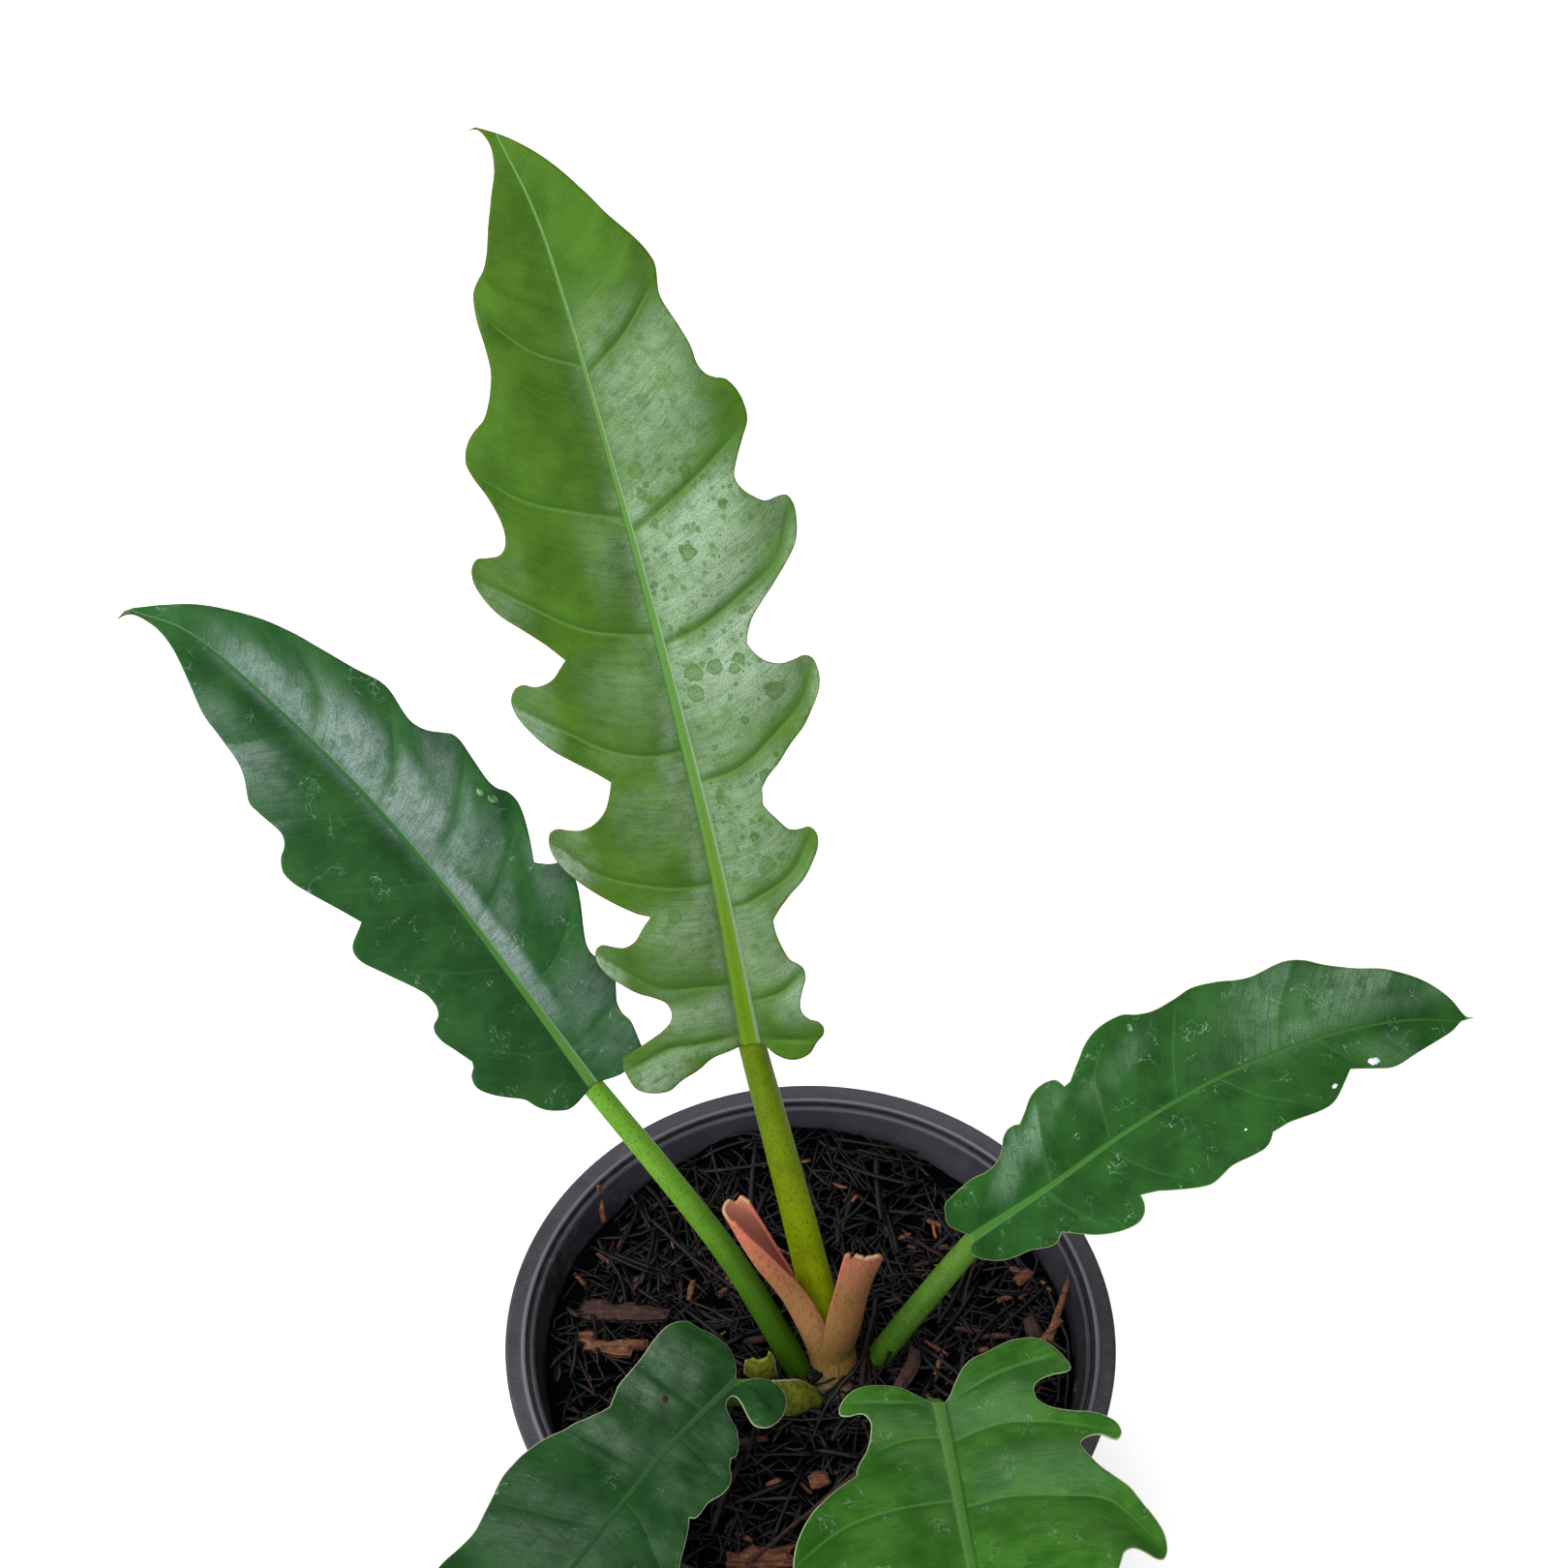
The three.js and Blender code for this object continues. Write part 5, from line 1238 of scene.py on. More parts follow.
def chip_object(name):
    """One of the larger chips, where the frame has it."""
    chip = CHIPS[name]
    length, width, thickness = chip["size"]
    outline = chip.get("outline", PLAIN_CHIP)
    points, faces, flat = chip_arrays(outline, length, width, thickness, SEED + sum(map(ord, name)))
    height = SOIL_HEIGHT + 1.4 + max(0, soil_height(*np.array([chip["at"]]).T)[0] - SOIL_HEIGHT)
    piece = solid_object(name + "_bit", turned(points, chip["turn"], (*chip["at"], height)), faces)
    add_uv(piece, flat / (3 * length) + 0.3)
    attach(piece, "root")
    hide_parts(name)
    return piece


def loose_bits_object(slot):
    """All the loose bits of one kind in one mesh."""
    points, faces = [], []
    count = 0
    for index, (x, y, length, width, turn, kind) in enumerate(LOOSE_BITS):
        if kind != slot:
            continue
        bit, bit_faces, _ = chip_arrays(PLAIN_CHIP, length, width, 0.35 * width + 0.5, SEED + 100 + index)
        height = soil_height(np.array([x]), np.array([y]))[0] + 0.8
        points.append(turned(bit, turn, (x, y, height)))
        faces += shifted(bit_faces, count)
        count += len(bit)
    piece = solid_object(slot + "_loose", np.vstack(points), faces)
    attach(piece, "root")
    return piece


STICKS = {
    "stick_right": {"from": (59.5, 5, 114.2), "to": (65.2, 19.6, 121.6), "radius": 1.1, "slot": "wood_bits"},
    "twig_front": {"from": (12, -30.5, 113.2), "to": (-15.5, -58, 117.6), "radius": 0.7, "slot": "bark"},
}


def stick_object(name):
    """A thin stick with knots, slightly crooked."""
    stick = STICKS[name]
    sides, steps = 12, 40
    share = np.linspace(0, 1, steps)
    start, end = np.array(stick["from"]), np.array(stick["to"])
    path = start + (end - start) * share[:, None]
    seed = SEED + sum(map(ord, name))
    wobble = np.stack([waves(share[:, None] * 30, (14, 6), seed + axis) for axis in range(3)], axis=1)
    radii = stick["radius"] * (1 - 0.35 * share + 0.12 * waves(share[:, None] * 30, (5, 2.5), seed + 4))
    rings = tube_points(path + 0.28 * wobble, radii, sides, [0, 0, 1], 0.85)
    piece = solid_object(name + "_bit", rings.reshape(-1, 3), tube_faces(steps, sides))
    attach(piece, "root")
    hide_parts(name)
    return piece


# Bare roots and leaning sticks that only the finished look has: their points and radius.
DARK_ROOTS = [
    ([[17, 16, 117], [12.5, -3, 119], [7.5, -9.5, 117.5], [4, -14, 115], [0, -23, 114]], 0.75),
    ([[-9.5, -16.5, 114], [0, -17.5, 114.6], [11, -16, 114]], 0.5),
    ([[60, 17, 117], [64, 2, 116.5], [62.5, -15, 115]], 0.6),
    ([[22, 6, 116.5], [17, -6, 117.5], [10, -12, 117], [5, -16, 114]], 0.5),
    ([[-40, 38, 118], [-28, 26, 117], [-15, 17, 115]], 0.7),
    ([[-54, 33, 117], [-47, 20, 116], [-46, 8, 114]], 0.6),
]
PALE_STICKS = [
    ([[-52.2, 38.6, 117], [-53.4, 42, 121.5], [-53.6, 43.6, 125.6]], 0.9),
    ([[62.5, 9.5, 117], [58, 5, 114.5], [56, 1, 113.5]], 1.2),
]


def strand_object(name, strands):
    """Thin crooked strands in one mesh."""
    points, faces = [], []
    sides, steps = 8, 36
    for index, (path, radius) in enumerate(strands):
        centre, distance = smooth_curve(path, steps)
        marks = distance[:, None]
        seed = SEED + 200 + 3 * index
        wobble = np.stack([waves(marks, (13, 5), seed + axis) for axis in range(3)], axis=1)
        taper = radius * (1 - 0.4 * distance / distance[-1] + 0.12 * waves(marks, (4, 2), SEED + index))
        rings = tube_points(centre + 0.35 * wobble, taper, sides, [0, 0, 1], 0.9)
        points.append(rings.reshape(-1, 3))
        faces += shifted(tube_faces(steps, sides), index * sides * steps)
    piece = solid_object(name, np.vstack(points), faces)
    add_attribute(piece, "tint", np.full(len(piece.data.vertices), 0.1))
    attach(piece, "root")
    return piece


# Materials


def srgb(red, green, blue):
    """The shader's colour for what looks like this, in 0 to 255, where the light is LIGHT_LEVEL."""
    def channel(value):
        value = value / 255
        return (value / 12.92 if value <= 0.04045 else ((value + 0.055) / 1.055) ** 2.4) / LIGHT_LEVEL
    return (channel(red), channel(green), channel(blue), 1.0)


class Paint:
    """A node material being made."""

    def __init__(self, name, **values):
        self.material = bpy.data.materials.new(name)
        self.material.use_nodes = True
        self.tree = self.material.node_tree
        self.shader = self.tree.nodes["Principled BSDF"]
        for socket, value in values.items():
            self.shader.inputs[socket.replace("_", " ")].default_value = value

    def put(self, socket, value):
        if isinstance(value, bpy.types.NodeSocket):
            self.tree.links.new(value, socket)
        else:
            socket.default_value = value

    def field(self, name):
        node = self.tree.nodes.new("ShaderNodeAttribute")
        node.attribute_name = name
        return node.outputs["Fac"]

    def place(self):
        return self.tree.nodes.new("ShaderNodeTexCoord").outputs["Object"]

    def stretched(self, vector, scale):
        node = self.tree.nodes.new("ShaderNodeMapping")
        node.inputs["Scale"].default_value = scale
        self.put(node.inputs["Vector"], vector)
        return node.outputs["Vector"]

    def math(self, operation, first, second=0.0):
        node = self.tree.nodes.new("ShaderNodeMath")
        node.operation = operation
        self.put(node.inputs[0], first)
        self.put(node.inputs[1], second)
        return node.outputs[0]

    def times(self, first, second):
        return self.math("MULTIPLY", first, second)

    def step(self, value, low, high, start=0.0, end=1.0):
        """A smooth ramp of value from start at low to end at high."""
        node = self.tree.nodes.new("ShaderNodeMapRange")
        node.interpolation_type = "SMOOTHSTEP"
        self.put(node.inputs["Value"], value)
        for socket, number in (("From Min", low), ("From Max", high), ("To Min", start), ("To Max", end)):
            node.inputs[socket].default_value = number
        return node.outputs[0]

    def mix(self, share, first, second):
        """The first colour where share is 0, and the second where it is 1."""
        node = self.tree.nodes.new("ShaderNodeMix")
        node.data_type = "RGBA"
        for index, value in ((0, share), (6, first), (7, second)):
            self.put(node.inputs[index], value)
        return node.outputs[2]

    def vector(self, x, y, z):
        node = self.tree.nodes.new("ShaderNodeCombineXYZ")
        for index, value in enumerate((x, y, z)):
            self.put(node.inputs[index], value)
        return node.outputs[0]

    def shift(self, vector, by, amount):
        """The vector moved by a colour whose middle grey means no move."""
        centred = self.tree.nodes.new("ShaderNodeVectorMath")
        centred.operation = "SUBTRACT"
        self.put(centred.inputs[0], by)
        centred.inputs[1].default_value = (0.5, 0.5, 0.5)
        moved = self.tree.nodes.new("ShaderNodeVectorMath")
        moved.operation = "MULTIPLY_ADD"
        self.put(moved.inputs[0], centred.outputs[0])
        moved.inputs[1].default_value = (amount, amount, amount)
        self.put(moved.inputs[2], vector)
        return moved.outputs[0]

    def blots(self, vector, scale, largest):
        """Round blots of many sizes: how far inside one each point is, and the ring round it."""
        node = self.tree.nodes.new("ShaderNodeTexVoronoi")
        self.put(node.inputs["Vector"], vector)
        node.inputs["Scale"].default_value = scale
        chance = self.tree.nodes.new("ShaderNodeSeparateColor")
        self.put(chance.inputs[0], node.outputs["Color"])
        radius = self.times(self.math("POWER", chance.outputs[0], 1.4), largest)
        beyond = self.math("SUBTRACT", node.outputs["Distance"], radius)
        ring = self.math("ABSOLUTE", beyond)
        return self.step(beyond, 0.015, -0.015), self.step(ring, 0.05, 0.01)

    def noise(self, vector, scale, detail, rough, colour=False):
        node = self.tree.nodes.new("ShaderNodeTexNoise")
        self.put(node.inputs["Vector"], vector)
        node.inputs["Scale"].default_value = scale
        node.inputs["Detail"].default_value = detail
        node.inputs["Roughness"].default_value = rough
        return node.outputs[1 if colour else 0]

    def cells(self, vector, scale):
        node = self.tree.nodes.new("ShaderNodeTexVoronoi")
        self.put(node.inputs["Vector"], vector)
        node.inputs["Scale"].default_value = scale
        return node.outputs["Distance"]

    def bump(self, height, distance, strength):
        node = self.tree.nodes.new("ShaderNodeBump")
        node.inputs["Strength"].default_value = strength
        node.inputs["Distance"].default_value = distance
        self.put(node.inputs["Height"], height)
        return node.outputs["Normal"]

    def finish(self, colour, roughness, normal=None):
        self.put(self.shader.inputs["Base Color"], colour)
        self.put(self.shader.inputs["Roughness"], roughness)
        if normal is not None:
            self.put(self.shader.inputs["Normal"], normal)
        return self.material


def cover(thing, material):
    thing.data.materials.clear()
    thing.data.materials.append(material)


# Each blade's colours. Pale is the painted sheen, the painted highlight along the rib and some fine
# speckles; crease is the painted shade in the creases and the groove, and the dark of the grain, speckles
# and dried water rings.
LEAF_COLOURS = {
    "leaf_tall": {"deep": (56, 96, 4), "fresh": (78, 120, 24), "pale": (172, 196, 172),
                  "rib": (104, 140, 6), "rib_far": (98, 148, 66), "vein": (96, 142, 58),
                  "crease": (56, 98, 22), "edge": (112, 98, 46), "under": (128, 156, 84)},
    "leaf_left": {"deep": (24, 76, 24), "fresh": (48, 100, 42), "pale": (176, 192, 194),
                  "rib": (92, 148, 58), "rib_far": (58, 118, 56), "vein": (58, 116, 54),
                  "crease": (30, 80, 32), "edge": (92, 120, 72), "under": (104, 140, 84)},
    "leaf_right": {"deep": (16, 60, 12), "fresh": (38, 90, 28), "pale": (128, 160, 130),
                   "rib": (66, 118, 44), "rib_far": (54, 106, 40), "vein": (80, 134, 70),
                   "crease": (30, 80, 28), "edge": (150, 170, 110), "under": (104, 140, 84)},
    "leaf_front_left": {"deep": (18, 60, 20), "fresh": (42, 86, 38), "pale": (120, 144, 124),
                        "rib": (60, 98, 58), "rib_far": (38, 84, 36), "vein": (64, 112, 66),
                        "crease": (28, 70, 34), "edge": (206, 208, 176), "under": (104, 140, 84)},
    "leaf_front_right": {"deep": (38, 90, 16), "fresh": (68, 122, 38), "pale": (116, 148, 118),
                         "rib": (84, 128, 60), "rib_far": (72, 122, 46), "vein": (92, 146, 72),
                         "crease": (38, 84, 26), "edge": (206, 212, 170), "under": (104, 140, 84)},
}


# How strongly the side veins, the painted highlight on the rib's right side, the chalk and the painted shade
# in the creases show on each blade
LEAF_STRENGTHS = {
    "leaf_tall": {"vein": 0.6, "rib": 0.6, "chalk": 0.1, "crease": 0.75},
    "leaf_left": {"vein": 0.3, "rib": 0.35, "chalk": 0.75, "crease": 0.25},
    "leaf_right": {"vein": 0.18, "rib": 0.1, "chalk": 0.6, "crease": 0.35},
    "leaf_front_left": {"vein": 0.25, "rib": 0.1, "chalk": 0.35, "crease": 0.3},
    "leaf_front_right": {"vein": 0.5, "rib": 0.15, "chalk": 0.65, "crease": 0.45},
}


def blade_greens(paint, colours, flat, streaks):
    """The blade's two greens, in clouds and in streaks along the side veins."""
    cloudy = paint.noise(flat, 0.07, 5, 0.6)
    colour = paint.mix(paint.step(cloudy, 0.35, 0.65), colours["deep"], colours["fresh"])
    colour = paint.mix(paint.step(streaks, 0.45, 0.8, 0.0, 0.6), colour, colours["fresh"])
    return paint.mix(paint.step(streaks, 0.5, 0.25, 0.0, 0.5), colour, colours["deep"])


def blade_painted_sheen(paint, colours, colour, flat, streaks, grain):
    """The painted sheen, a pale grey for the reflection of the bright sky, broken up by water that dried in
    rings of two sizes.
    """
    wobble = paint.noise(flat, 0.7, 2, 0.5, colour=True)
    placed = paint.shift(flat, wobble, 1.4)
    large = paint.blots(placed, 0.17, 0.4)
    small = paint.blots(placed, 0.46, 0.36)
    wet = paint.field("wet")
    inside = paint.times(paint.math("MAXIMUM", large[0], small[0]), wet)
    ring = paint.times(paint.math("MAXIMUM", large[1], small[1]), wet)
    uneven = paint.noise(flat, 0.25, 5, 0.65)
    # Painted sheen: uneven with the grain and streaks, and faint inside the dried water spots.
    pale = paint.times(paint.field("pale"), paint.step(uneven, 0.25, 0.6, 0.35, 1.0))
    pale = paint.times(pale, paint.step(streaks, 0.3, 0.6, 0.6, 1.0))
    pale = paint.times(pale, paint.step(grain, 0.35, 0.55, 0.45, 1.0))
    pale = paint.times(pale, paint.step(inside, 0.0, 1.0, 1.0, 0.45))
    colour = paint.mix(pale, colour, colours["pale"])
    colour = paint.mix(paint.times(ring, 0.6), colour, colours["crease"])
    return paint.mix(paint.step(grain, 0.55, 0.3, 0.0, 0.4), colour, colours["crease"])


def blade_scribbles(paint, colour, flat, strength):
    """Chalky scribbles where drops ran and dried."""
    thin = paint.math("ABSOLUTE", paint.math("SUBTRACT", paint.noise(flat, 0.16, 3, 0.6), 0.5))
    some = paint.step(paint.noise(flat, 0.13, 2, 0.5), 0.52, 0.6)
    chalk = paint.times(paint.step(thin, 0.006, 0.001), some)
    return paint.mix(paint.times(chalk, strength), colour, srgb(150, 176, 160))


def blade_veins(paint, colours, colour, phase, strength):
    """The side veins: a thin line, with painted shade in the crease beside it."""
    off_vein = paint.times(paint.math("PINGPONG", phase, 0.5), paint.field("gap"))
    past_vein = paint.times(paint.math("FRACT", phase), paint.field("gap"))
    margin = paint.times(paint.step(paint.field("edge"), 0.0, 5.0), paint.field("real"))
    # Painted shade: darker just past each vein, in the crease towards the tip.
    painted_crease_shade = paint.times(paint.step(past_vein, 3.6, 0.4), margin)
    colour = paint.mix(paint.times(painted_crease_shade, strength["crease"]), colour, colours["crease"])
    line = paint.times(paint.step(off_vein, 0.6, 0.15), margin)
    return paint.mix(paint.times(line, strength["vein"]), colour, colours["vein"])


def blade_rib(paint, colours, colour, station, grain, strength):
    """The midrib, with painted shade in the groove to its left and a painted highlight along its right side.
    """
    across = paint.field("rib")
    # Painted shade in the groove left of the rib.
    groove = paint.times(paint.step(across, -1.9, -1.2), paint.step(across, -0.8, -1.1))
    colour = paint.mix(paint.times(groove, 0.6), colour, colours["crease"])
    rib_colour = paint.mix(paint.step(station, 10, 90), colours["rib"], colours["rib_far"])
    # Painted highlight on the rib's right side.
    rib_colour = paint.mix(paint.step(across, 0.45, 0.85, 0.0, strength), rib_colour, colours["pale"])
    rib_colour = paint.mix(paint.step(grain, 0.5, 0.3, 0.0, 0.5), rib_colour, colours["fresh"])
    return paint.mix(paint.step(paint.math("ABSOLUTE", across), 1.15, 0.85), colour, rib_colour)


def blade_margin(paint, colours, colour, flat):
    """The thin line of the margin, and fine speckles all over."""
    speckle = paint.noise(flat, 6.0, 2, 0.6)
    colour = paint.mix(paint.step(paint.field("edge"), 0.28, 0.06, 0.0, 0.8), colour, colours["edge"])
    colour = paint.mix(paint.step(speckle, 0.5, 0.32, 0.0, 0.3), colour, colours["crease"])
    return paint.mix(paint.step(speckle, 0.5, 0.7, 0.0, 0.16), colour, colours["pale"])


def leaf_material(name):
    """A blade's skin, painted by where each point lies on the blade and between its veins."""
    colours = {key: srgb(*value) for key, value in LEAF_COLOURS[name].items()}
    strength = LEAF_STRENGTHS[name]
    paint = Paint(name + "_skin", Specular_IOR_Level=0.03)
    reach, station = paint.field("reach"), paint.field("station")
    phase, under = paint.field("phase"), paint.field("under")
    flat = paint.vector(reach, station, paint.times(under, 40))
    side = paint.math("SIGN", reach)
    along_veins = paint.vector(paint.times(phase, 34), paint.times(reach, 0.1), side)
    streaks = paint.noise(along_veins, 1.6, 4, 0.65)
    grain = paint.noise(flat, 2.6, 3, 0.75)

    colour = blade_greens(paint, colours, flat, streaks)
    colour = blade_painted_sheen(paint, colours, colour, flat, streaks, grain)
    colour = blade_scribbles(paint, colour, flat, strength["chalk"])
    colour = blade_veins(paint, colours, colour, phase, strength)
    colour = blade_rib(paint, colours, colour, station, grain, strength["rib"])
    colour = blade_margin(paint, colours, colour, flat)
    colour = paint.mix(paint.times(under, 0.75), colour, colours["under"])
    roughness = paint.step(grain, 0.25, 0.75, 0.3, 0.5)
    roughness = paint.math("ADD", roughness, paint.times(under, 0.2))
    height = paint.math("ADD", paint.times(streaks, 1.2), grain)
    return paint.finish(colour, roughness, paint.bump(height, 0.00015, 0.8))


# Each stalk's colour at its foot, at its top, and of its specks. The left stalk's dark foot is painted
# shade, where leaves and mix shade it; the tall stalk's bright foot is partly its own yellow olive and
# partly painted light that offsets the shade near the crown.
STALK_COLOURS = {
    "petiole_tall": ((152, 170, 2), (100, 124, 12), (50, 72, 1)),
    "petiole_left": ((48, 78, 4), (112, 166, 52), (36, 84, 8)),
    "petiole_right": ((52, 92, 18), (88, 128, 46), (28, 62, 12)),
    "petiole_front_left": ((96, 102, 24), (86, 116, 44), (52, 60, 12)),
    "petiole_front_right": ((60, 100, 26), (84, 124, 52), (32, 62, 16)),
}


def stalk_material(name):
    foot, top, speck = (srgb(*colour) for colour in STALK_COLOURS[name])
    paint = Paint(name + "_skin", Specular_IOR_Level=0.05)
    place = paint.place()
    # foot to top, which carries the painted shade and painted light at some stalks' feet
    colour = paint.mix(paint.step(paint.field("share"), 0.1, 0.9), foot, top)
    cloudy = paint.noise(place, 90, 4, 0.6)
    colour = paint.mix(paint.step(cloudy, 0.35, 0.75, 0.0, 0.35), colour, speck)
    flecks = paint.noise(paint.stretched(place, (1.0, 1.0, 0.5)), 1800, 2, 0.65)
    colour = paint.mix(paint.step(flecks, 0.52, 0.68, 0.0, 0.55), colour, speck)
    roughness = paint.step(cloudy, 0.2, 0.8, 0.36, 0.5)
    normal = paint.bump(flecks, 0.00012, 0.5)
    return paint.finish(colour, roughness, normal)


def cataphyll_material():
    paint = Paint("cataphyll_skin", Specular_IOR_Level=0.06)
    place = paint.place()
    share = paint.field("share")
    left_arm = paint.mix(paint.step(share, 0.45, 0.95), srgb(172, 122, 80), srgb(212, 126, 98))
    right_arm = paint.mix(paint.step(share, 0.55, 1.0), srgb(142, 104, 62), srgb(172, 108, 84))
    colour = paint.mix(paint.field("sheet"), left_arm, right_arm)
    colour = paint.mix(paint.step(share, 0.34, 0.12), colour, srgb(132, 106, 58))
    grain = paint.noise(paint.stretched(place, (1.0, 1.0, 0.3)), 1500, 4, 0.7)
    colour = paint.mix(paint.step(grain, 0.45, 0.68, 0.0, 0.55), colour, srgb(98, 66, 34))
    blush = paint.noise(place, 90, 3, 0.5)
    colour = paint.mix(paint.step(blush, 0.5, 0.7, 0.0, 0.35), colour, srgb(200, 100, 86))
    # The inner face: its own pinker colour, painted lighter to offset the shade in the hollow of each arm.
    colour = paint.mix(paint.times(paint.field("inner"), 0.8), colour, srgb(222, 146, 124))
    rim = paint.step(paint.field("edge"), 0.08, 0.0, 0.0, 0.75)
    colour = paint.mix(paint.times(rim, paint.step(share, 0.35, 0.7)), colour, srgb(226, 120, 110))
    colour = paint.mix(paint.step(share, 0.972, 0.995, 0.0, 0.8), colour, srgb(196, 152, 116))
    return paint.finish(colour, 0.62, paint.bump(grain, 0.0002, 0.6))


def sheath_material():
    paint = Paint("leaf_sheath_skin", Specular_IOR_Level=0.1)
    place = paint.place()
    grain = paint.noise(place, 700, 4, 0.6)
    colour = paint.mix(paint.step(grain, 0.4, 0.7), srgb(118, 124, 38), srgb(74, 82, 20))
    colour = paint.mix(paint.step(paint.field("edge"), 0.05, 0.0), colour, srgb(206, 200, 160))
    return paint.finish(colour, 0.5, paint.bump(grain, 0.0002, 0.5))


def pot_material():
    paint = Paint("pot_plastic", Specular_IOR_Level=0.4)
    place = paint.place()
    grain = paint.noise(place, 2200, 3, 0.7)
    cloudy = paint.noise(place, 60, 5, 0.65)
    colour = paint.mix(paint.step(cloudy, 0.35, 0.7), srgb(30, 28, 33), srgb(44, 41, 48))
    colour = paint.mix(paint.step(grain, 0.45, 0.75, 0.0, 0.5), colour, srgb(82, 80, 96))
    # Painted reflection: the plastic is lighter and bluer towards the back, where it would mirror the bright
    # sky; the cloudy noise breaks up its edge.
    behind = paint.step(paint.math("ADD", paint.field("depth"), paint.times(cloudy, 40)), 30, 95)
    colour = paint.mix(paint.times(behind, 0.36), colour, srgb(92, 90, 104))
    radius = paint.field("radius")
    # Painted highlight: a bright line along the rim's bead.
    from_bead = paint.math("ABSOLUTE", paint.math("SUBTRACT", radius, RIM_RADIUS - 4.4))
    colour = paint.mix(paint.step(from_bead, 0.75, 0.25, 0.0, 0.55), colour, srgb(126, 122, 138))
    # Painted shade: a dark line in the groove inside the bead.
    from_groove = paint.math("ABSOLUTE", paint.math("SUBTRACT", radius, RIM_RADIUS - 5.45))
    colour = paint.mix(paint.step(from_groove, 0.6, 0.2, 0.0, 0.7), colour, srgb(22, 20, 25))
    dust = paint.times(paint.step(paint.noise(place, 240, 5, 0.75), 0.48, 0.66),
                      paint.step(paint.noise(place, 38, 3, 0.6), 0.42, 0.6))
    colour = paint.mix(paint.times(dust, 0.35), colour, srgb(92, 86, 94))
    crumbs = paint.noise(place, 700, 3, 0.7)
    colour = paint.mix(paint.step(crumbs, 0.66, 0.74, 0.0, 0.6), colour, srgb(112, 92, 76))
    roughness = paint.step(cloudy, 0.3, 0.7, 0.4, 0.56)
    return paint.finish(colour, roughness, paint.bump(grain, 0.00015, 0.6))


def soil_material():
    paint = Paint("potting_mix_bed", Specular_IOR_Level=0.03)
    place = paint.place()
    clods = paint.noise(place, 500, 5, 0.7)
    colour = paint.mix(paint.step(clods, 0.35, 0.7), srgb(1, 1, 1), srgb(5, 4, 5))
    crumbs = paint.cells(place, 700)
    colour = paint.mix(paint.step(crumbs, 0.2, 0.1, 0.0, 0.5), colour, srgb(16, 12, 11))
    return paint.finish(colour, 0.9, paint.bump(clods, 0.0012, 1.0))


def shred_material():
    paint = Paint("potting_mix_fibre", Specular_IOR_Level=0.18)
    place = paint.place()
    tint = paint.field("tint")
    colour = paint.mix(paint.step(tint, 0.0, 0.35), srgb(1, 1, 2), srgb(16, 13, 17))
    colour = paint.mix(paint.step(tint, 0.35, 0.7), colour, srgb(74, 42, 32))
    colour = paint.mix(paint.step(tint, 0.7, 1.0), colour, srgb(150, 96, 60))
    grain = paint.noise(place, 1400, 4, 0.7)
    colour = paint.mix(paint.step(grain, 0.5, 0.75, 0.0, 0.4), colour, srgb(14, 11, 14))
    return paint.finish(colour, paint.step(grain, 0.3, 0.7, 0.28, 0.55), paint.bump(grain, 0.0003, 0.8))


def wood_material(name, dark, light, pale):
    paint = Paint(name, Specular_IOR_Level=0.3)
    place = paint.place()
    grain = paint.noise(paint.stretched(place, (0.2, 1.0, 1.0)), 1200, 5, 0.7)
    colour = paint.mix(paint.step(grain, 0.35, 0.65), srgb(*dark), srgb(*light))
    worn = paint.noise(place, 500, 4, 0.6)
    colour = paint.mix(paint.step(worn, 0.55, 0.75, 0.0, 0.7), colour, srgb(*pale))
    return paint.finish(colour, 0.75, paint.bump(grain, 0.0005, 0.9))


def drop_material():
    paint = Paint("water_drop", Specular_IOR_Level=0.7)
    clouded = paint.noise(paint.place(), 500, 2, 0.5)
    return paint.finish(paint.mix(paint.step(clouded, 0.4, 0.6), srgb(20, 84, 18), srgb(70, 142, 60)), 0.05)


def flake_material():
    paint = Paint("chalk_flake", Specular_IOR_Level=0.2)
    grain = paint.noise(paint.place(), 1800, 3, 0.6)
    colour = paint.mix(paint.step(grain, 0.35, 0.65), srgb(214, 218, 226), srgb(246, 248, 252))
    return paint.finish(colour, 0.8, paint.bump(grain, 0.0003, 0.8))


def crown_material():
    return wood_material("crown_skin", (60, 44, 24), (120, 100, 56), (150, 140, 80))


# Stage


def add_camera():
    data = bpy.data.cameras.new("camera")
    data.lens = CAMERA_LENS
    data.sensor_width = CAMERA_SENSOR
    camera = bpy.data.objects.new("camera", data)
    camera.location = Vector(CAMERA_PLACE) * MM
    camera.rotation_euler = (math.radians(90 - CAMERA_PITCH), 0, 0)
    bpy.context.scene.collection.objects.link(camera)
    bpy.context.scene.camera = camera


def add_softbox():
    """A round softbox, for the glint on what is glossy."""
    data = bpy.data.lights.new("key", "AREA")
    data.shape = "DISK"
    data.size = KEY_SIZE
    data.energy = KEY_POWER
    light = bpy.data.objects.new("key", data)
    light.location = KEY_PLACE
    towards = Vector(KEY_TARGET) - Vector(KEY_PLACE)
    light.rotation_euler = towards.to_track_quat("-Z", "Y").to_euler()
    bpy.context.scene.collection.objects.link(light)


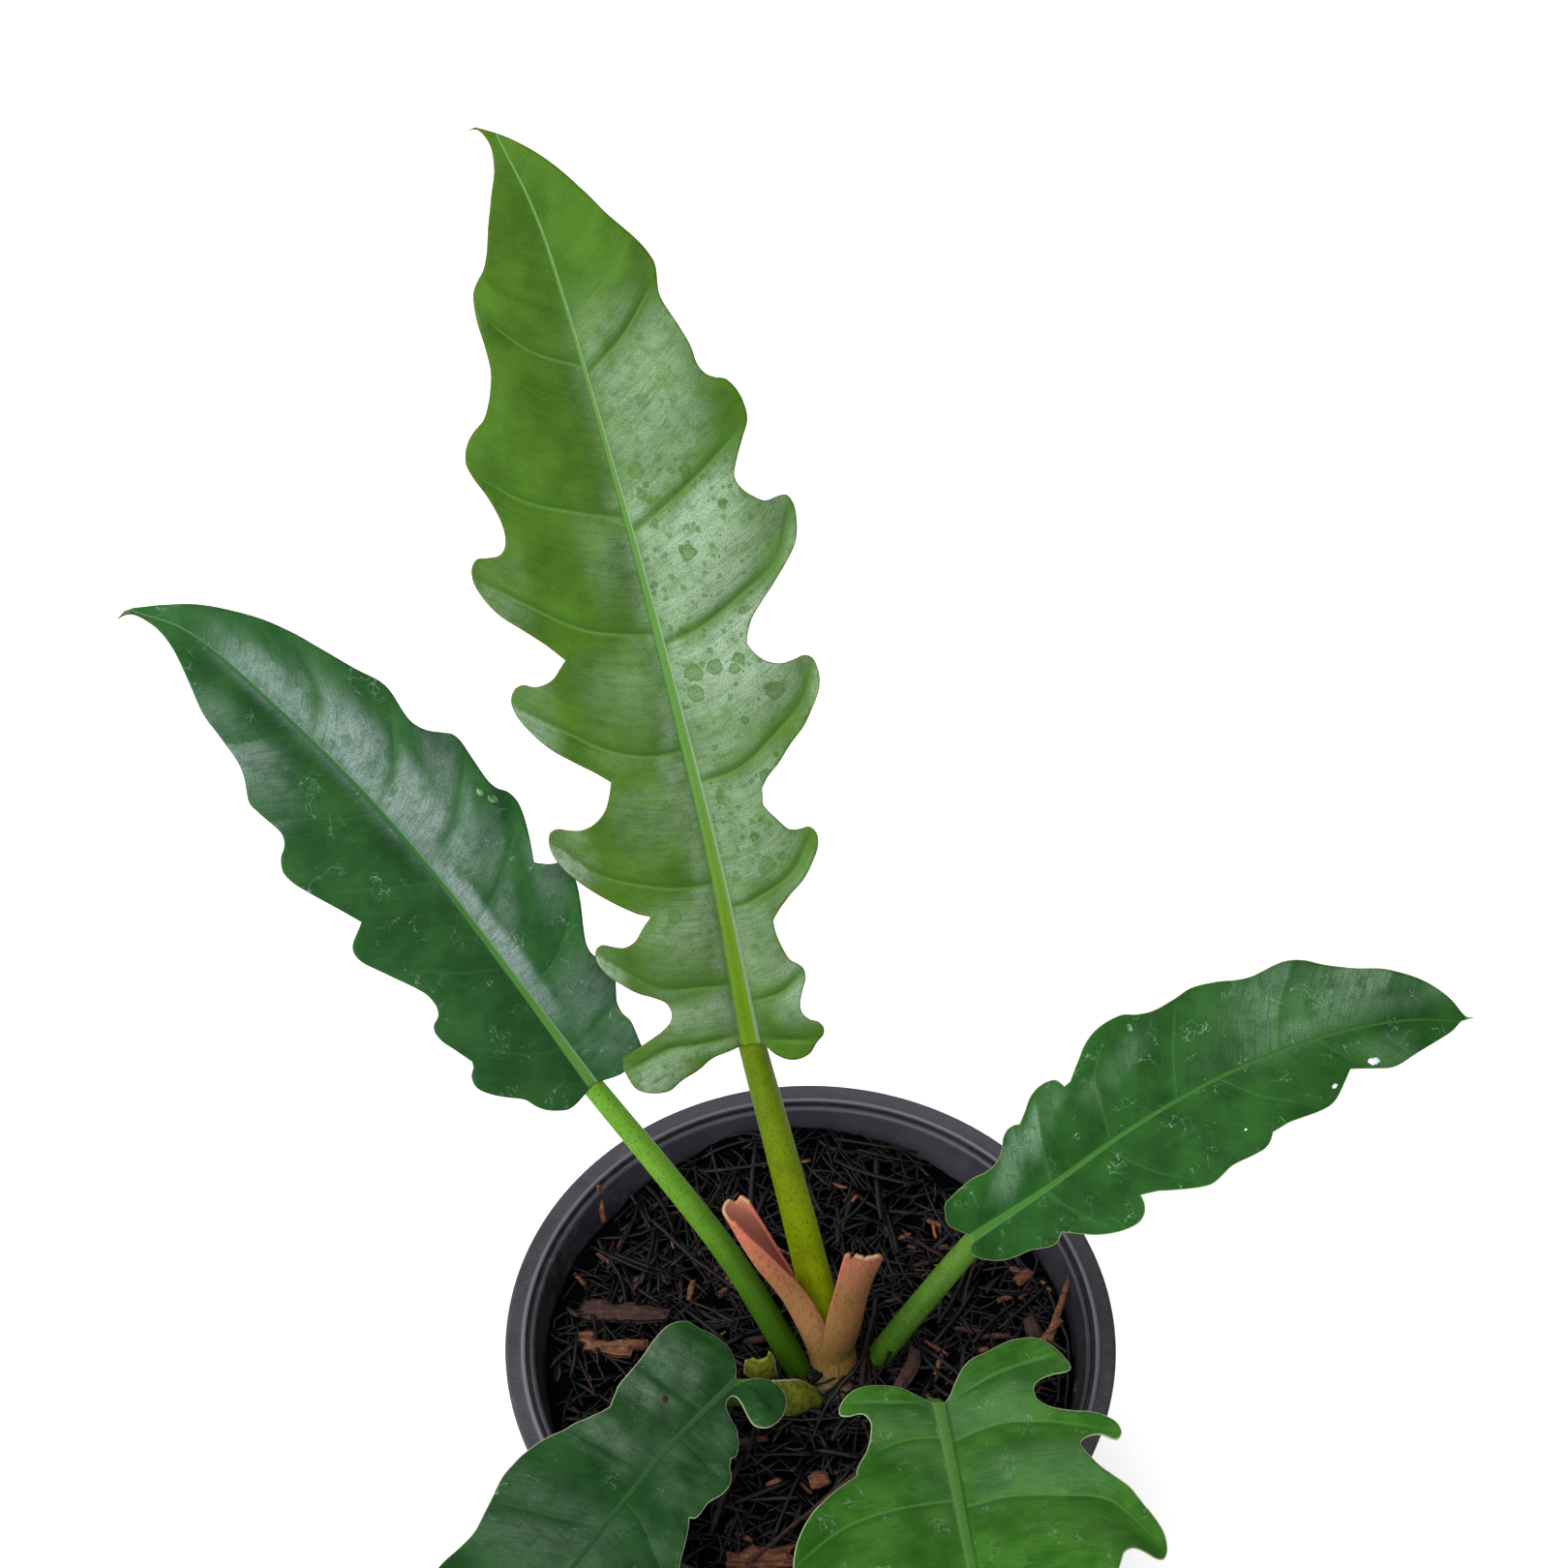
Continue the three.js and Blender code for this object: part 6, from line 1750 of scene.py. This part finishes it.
def add_world():
    """A pale sky, much brighter towards the upper left, which the camera sees as a white backdrop."""
    world = bpy.data.worlds.new("studio")
    world.use_nodes = True
    tree = world.node_tree
    direction = tree.nodes.new("ShaderNodeTexCoord").outputs["Generated"]
    facing = tree.nodes.new("ShaderNodeVectorMath")
    facing.operation = "DOT_PRODUCT"
    facing.inputs[1].default_value = Vector(SKY_BRIGHTEST).normalized()
    tree.links.new(direction, facing.inputs[0])
    ramp = tree.nodes.new("ShaderNodeMapRange")
    ramp.interpolation_type = "SMOOTHSTEP"
    tree.links.new(facing.outputs["Value"], ramp.inputs["Value"])
    limits = {"From Min": 0.1, "From Max": 1.0, "To Min": SKY_DIM, "To Max": SKY_BRIGHT}
    for socket, number in limits.items():
        ramp.inputs[socket].default_value = number
    background = tree.nodes["Background"]
    background.inputs["Color"].default_value = (1.0, 1.0, 1.0, 1.0)
    backdrop = tree.nodes.new("ShaderNodeMix")
    backdrop.inputs["B"].default_value = 1.0
    tree.links.new(tree.nodes.new("ShaderNodeLightPath").outputs["Is Camera Ray"], backdrop.inputs["Factor"])
    tree.links.new(ramp.outputs["Result"], backdrop.inputs["A"])
    tree.links.new(backdrop.outputs["Result"], background.inputs["Strength"])
    bpy.context.scene.world = world


def add_floor():
    half = FLOOR_SIDE / 2
    corners = [(-half, -half, 0), (half, -half, 0), (half, half, 0), (-half, half, 0)]
    floor = solid_object("studio_floor", corners, [(0, 1, 2, 3)])
    paint = Paint("studio_floor", Specular_IOR_Level=0.0)
    cover(floor, paint.finish((0.93, 0.93, 0.93, 1.0), 1.0))


def light_stage():
    add_floor()
    add_world()
    add_softbox()
    bpy.context.scene.view_settings.view_transform = "Standard"


# Assembly

add_camera()
light_stage()

cover(pot_object(), pot_material())
cover(soil_object(), soil_material())
fibre = shred_material()
for mix_shreds in MIX_SHREDS:
    cover(shreds_object(*mix_shreds), fibre)
cover(strand_object("root_strands", DARK_ROOTS), fibre)

bark = wood_material("bark", (30, 16, 15), (76, 40, 33), (112, 70, 56))
wood = wood_material("split_wood", (56, 30, 20), (132, 78, 46), (184, 136, 94))
slot_materials = {"bark": bark, "wood_bits": wood}
for chip_name, chip_shape in CHIPS.items():
    cover(chip_object(chip_name), slot_materials[chip_shape["slot"]])
for stick_name, stick_shape in STICKS.items():
    cover(stick_object(stick_name), slot_materials[stick_shape["slot"]])
for slot_name, slot_material in slot_materials.items():
    cover(loose_bits_object(slot_name), slot_material)
cover(strand_object("leaning_sticks", PALE_STICKS), wood)

cover(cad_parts["crown"], crown_material())
for stalk_name in STALK_SHAPES:
    cover(stalk_object(stalk_name), stalk_material(stalk_name))
cover(cataphyll_object(), cataphyll_material())
cover(sheath_object(), sheath_material())
for leaf_name in LEAF_SHAPES:
    cover(blade_object(leaf_name), leaf_material(leaf_name))
cover(beads_object("water_drops", WATER_DROPS, 0.05), drop_material())
cover(beads_object("chalk_flakes", WHITE_FLAKES, 0.6), flake_material())
cover(beads_object("brown_scars", BROWN_SCARS, 0.4), bark)
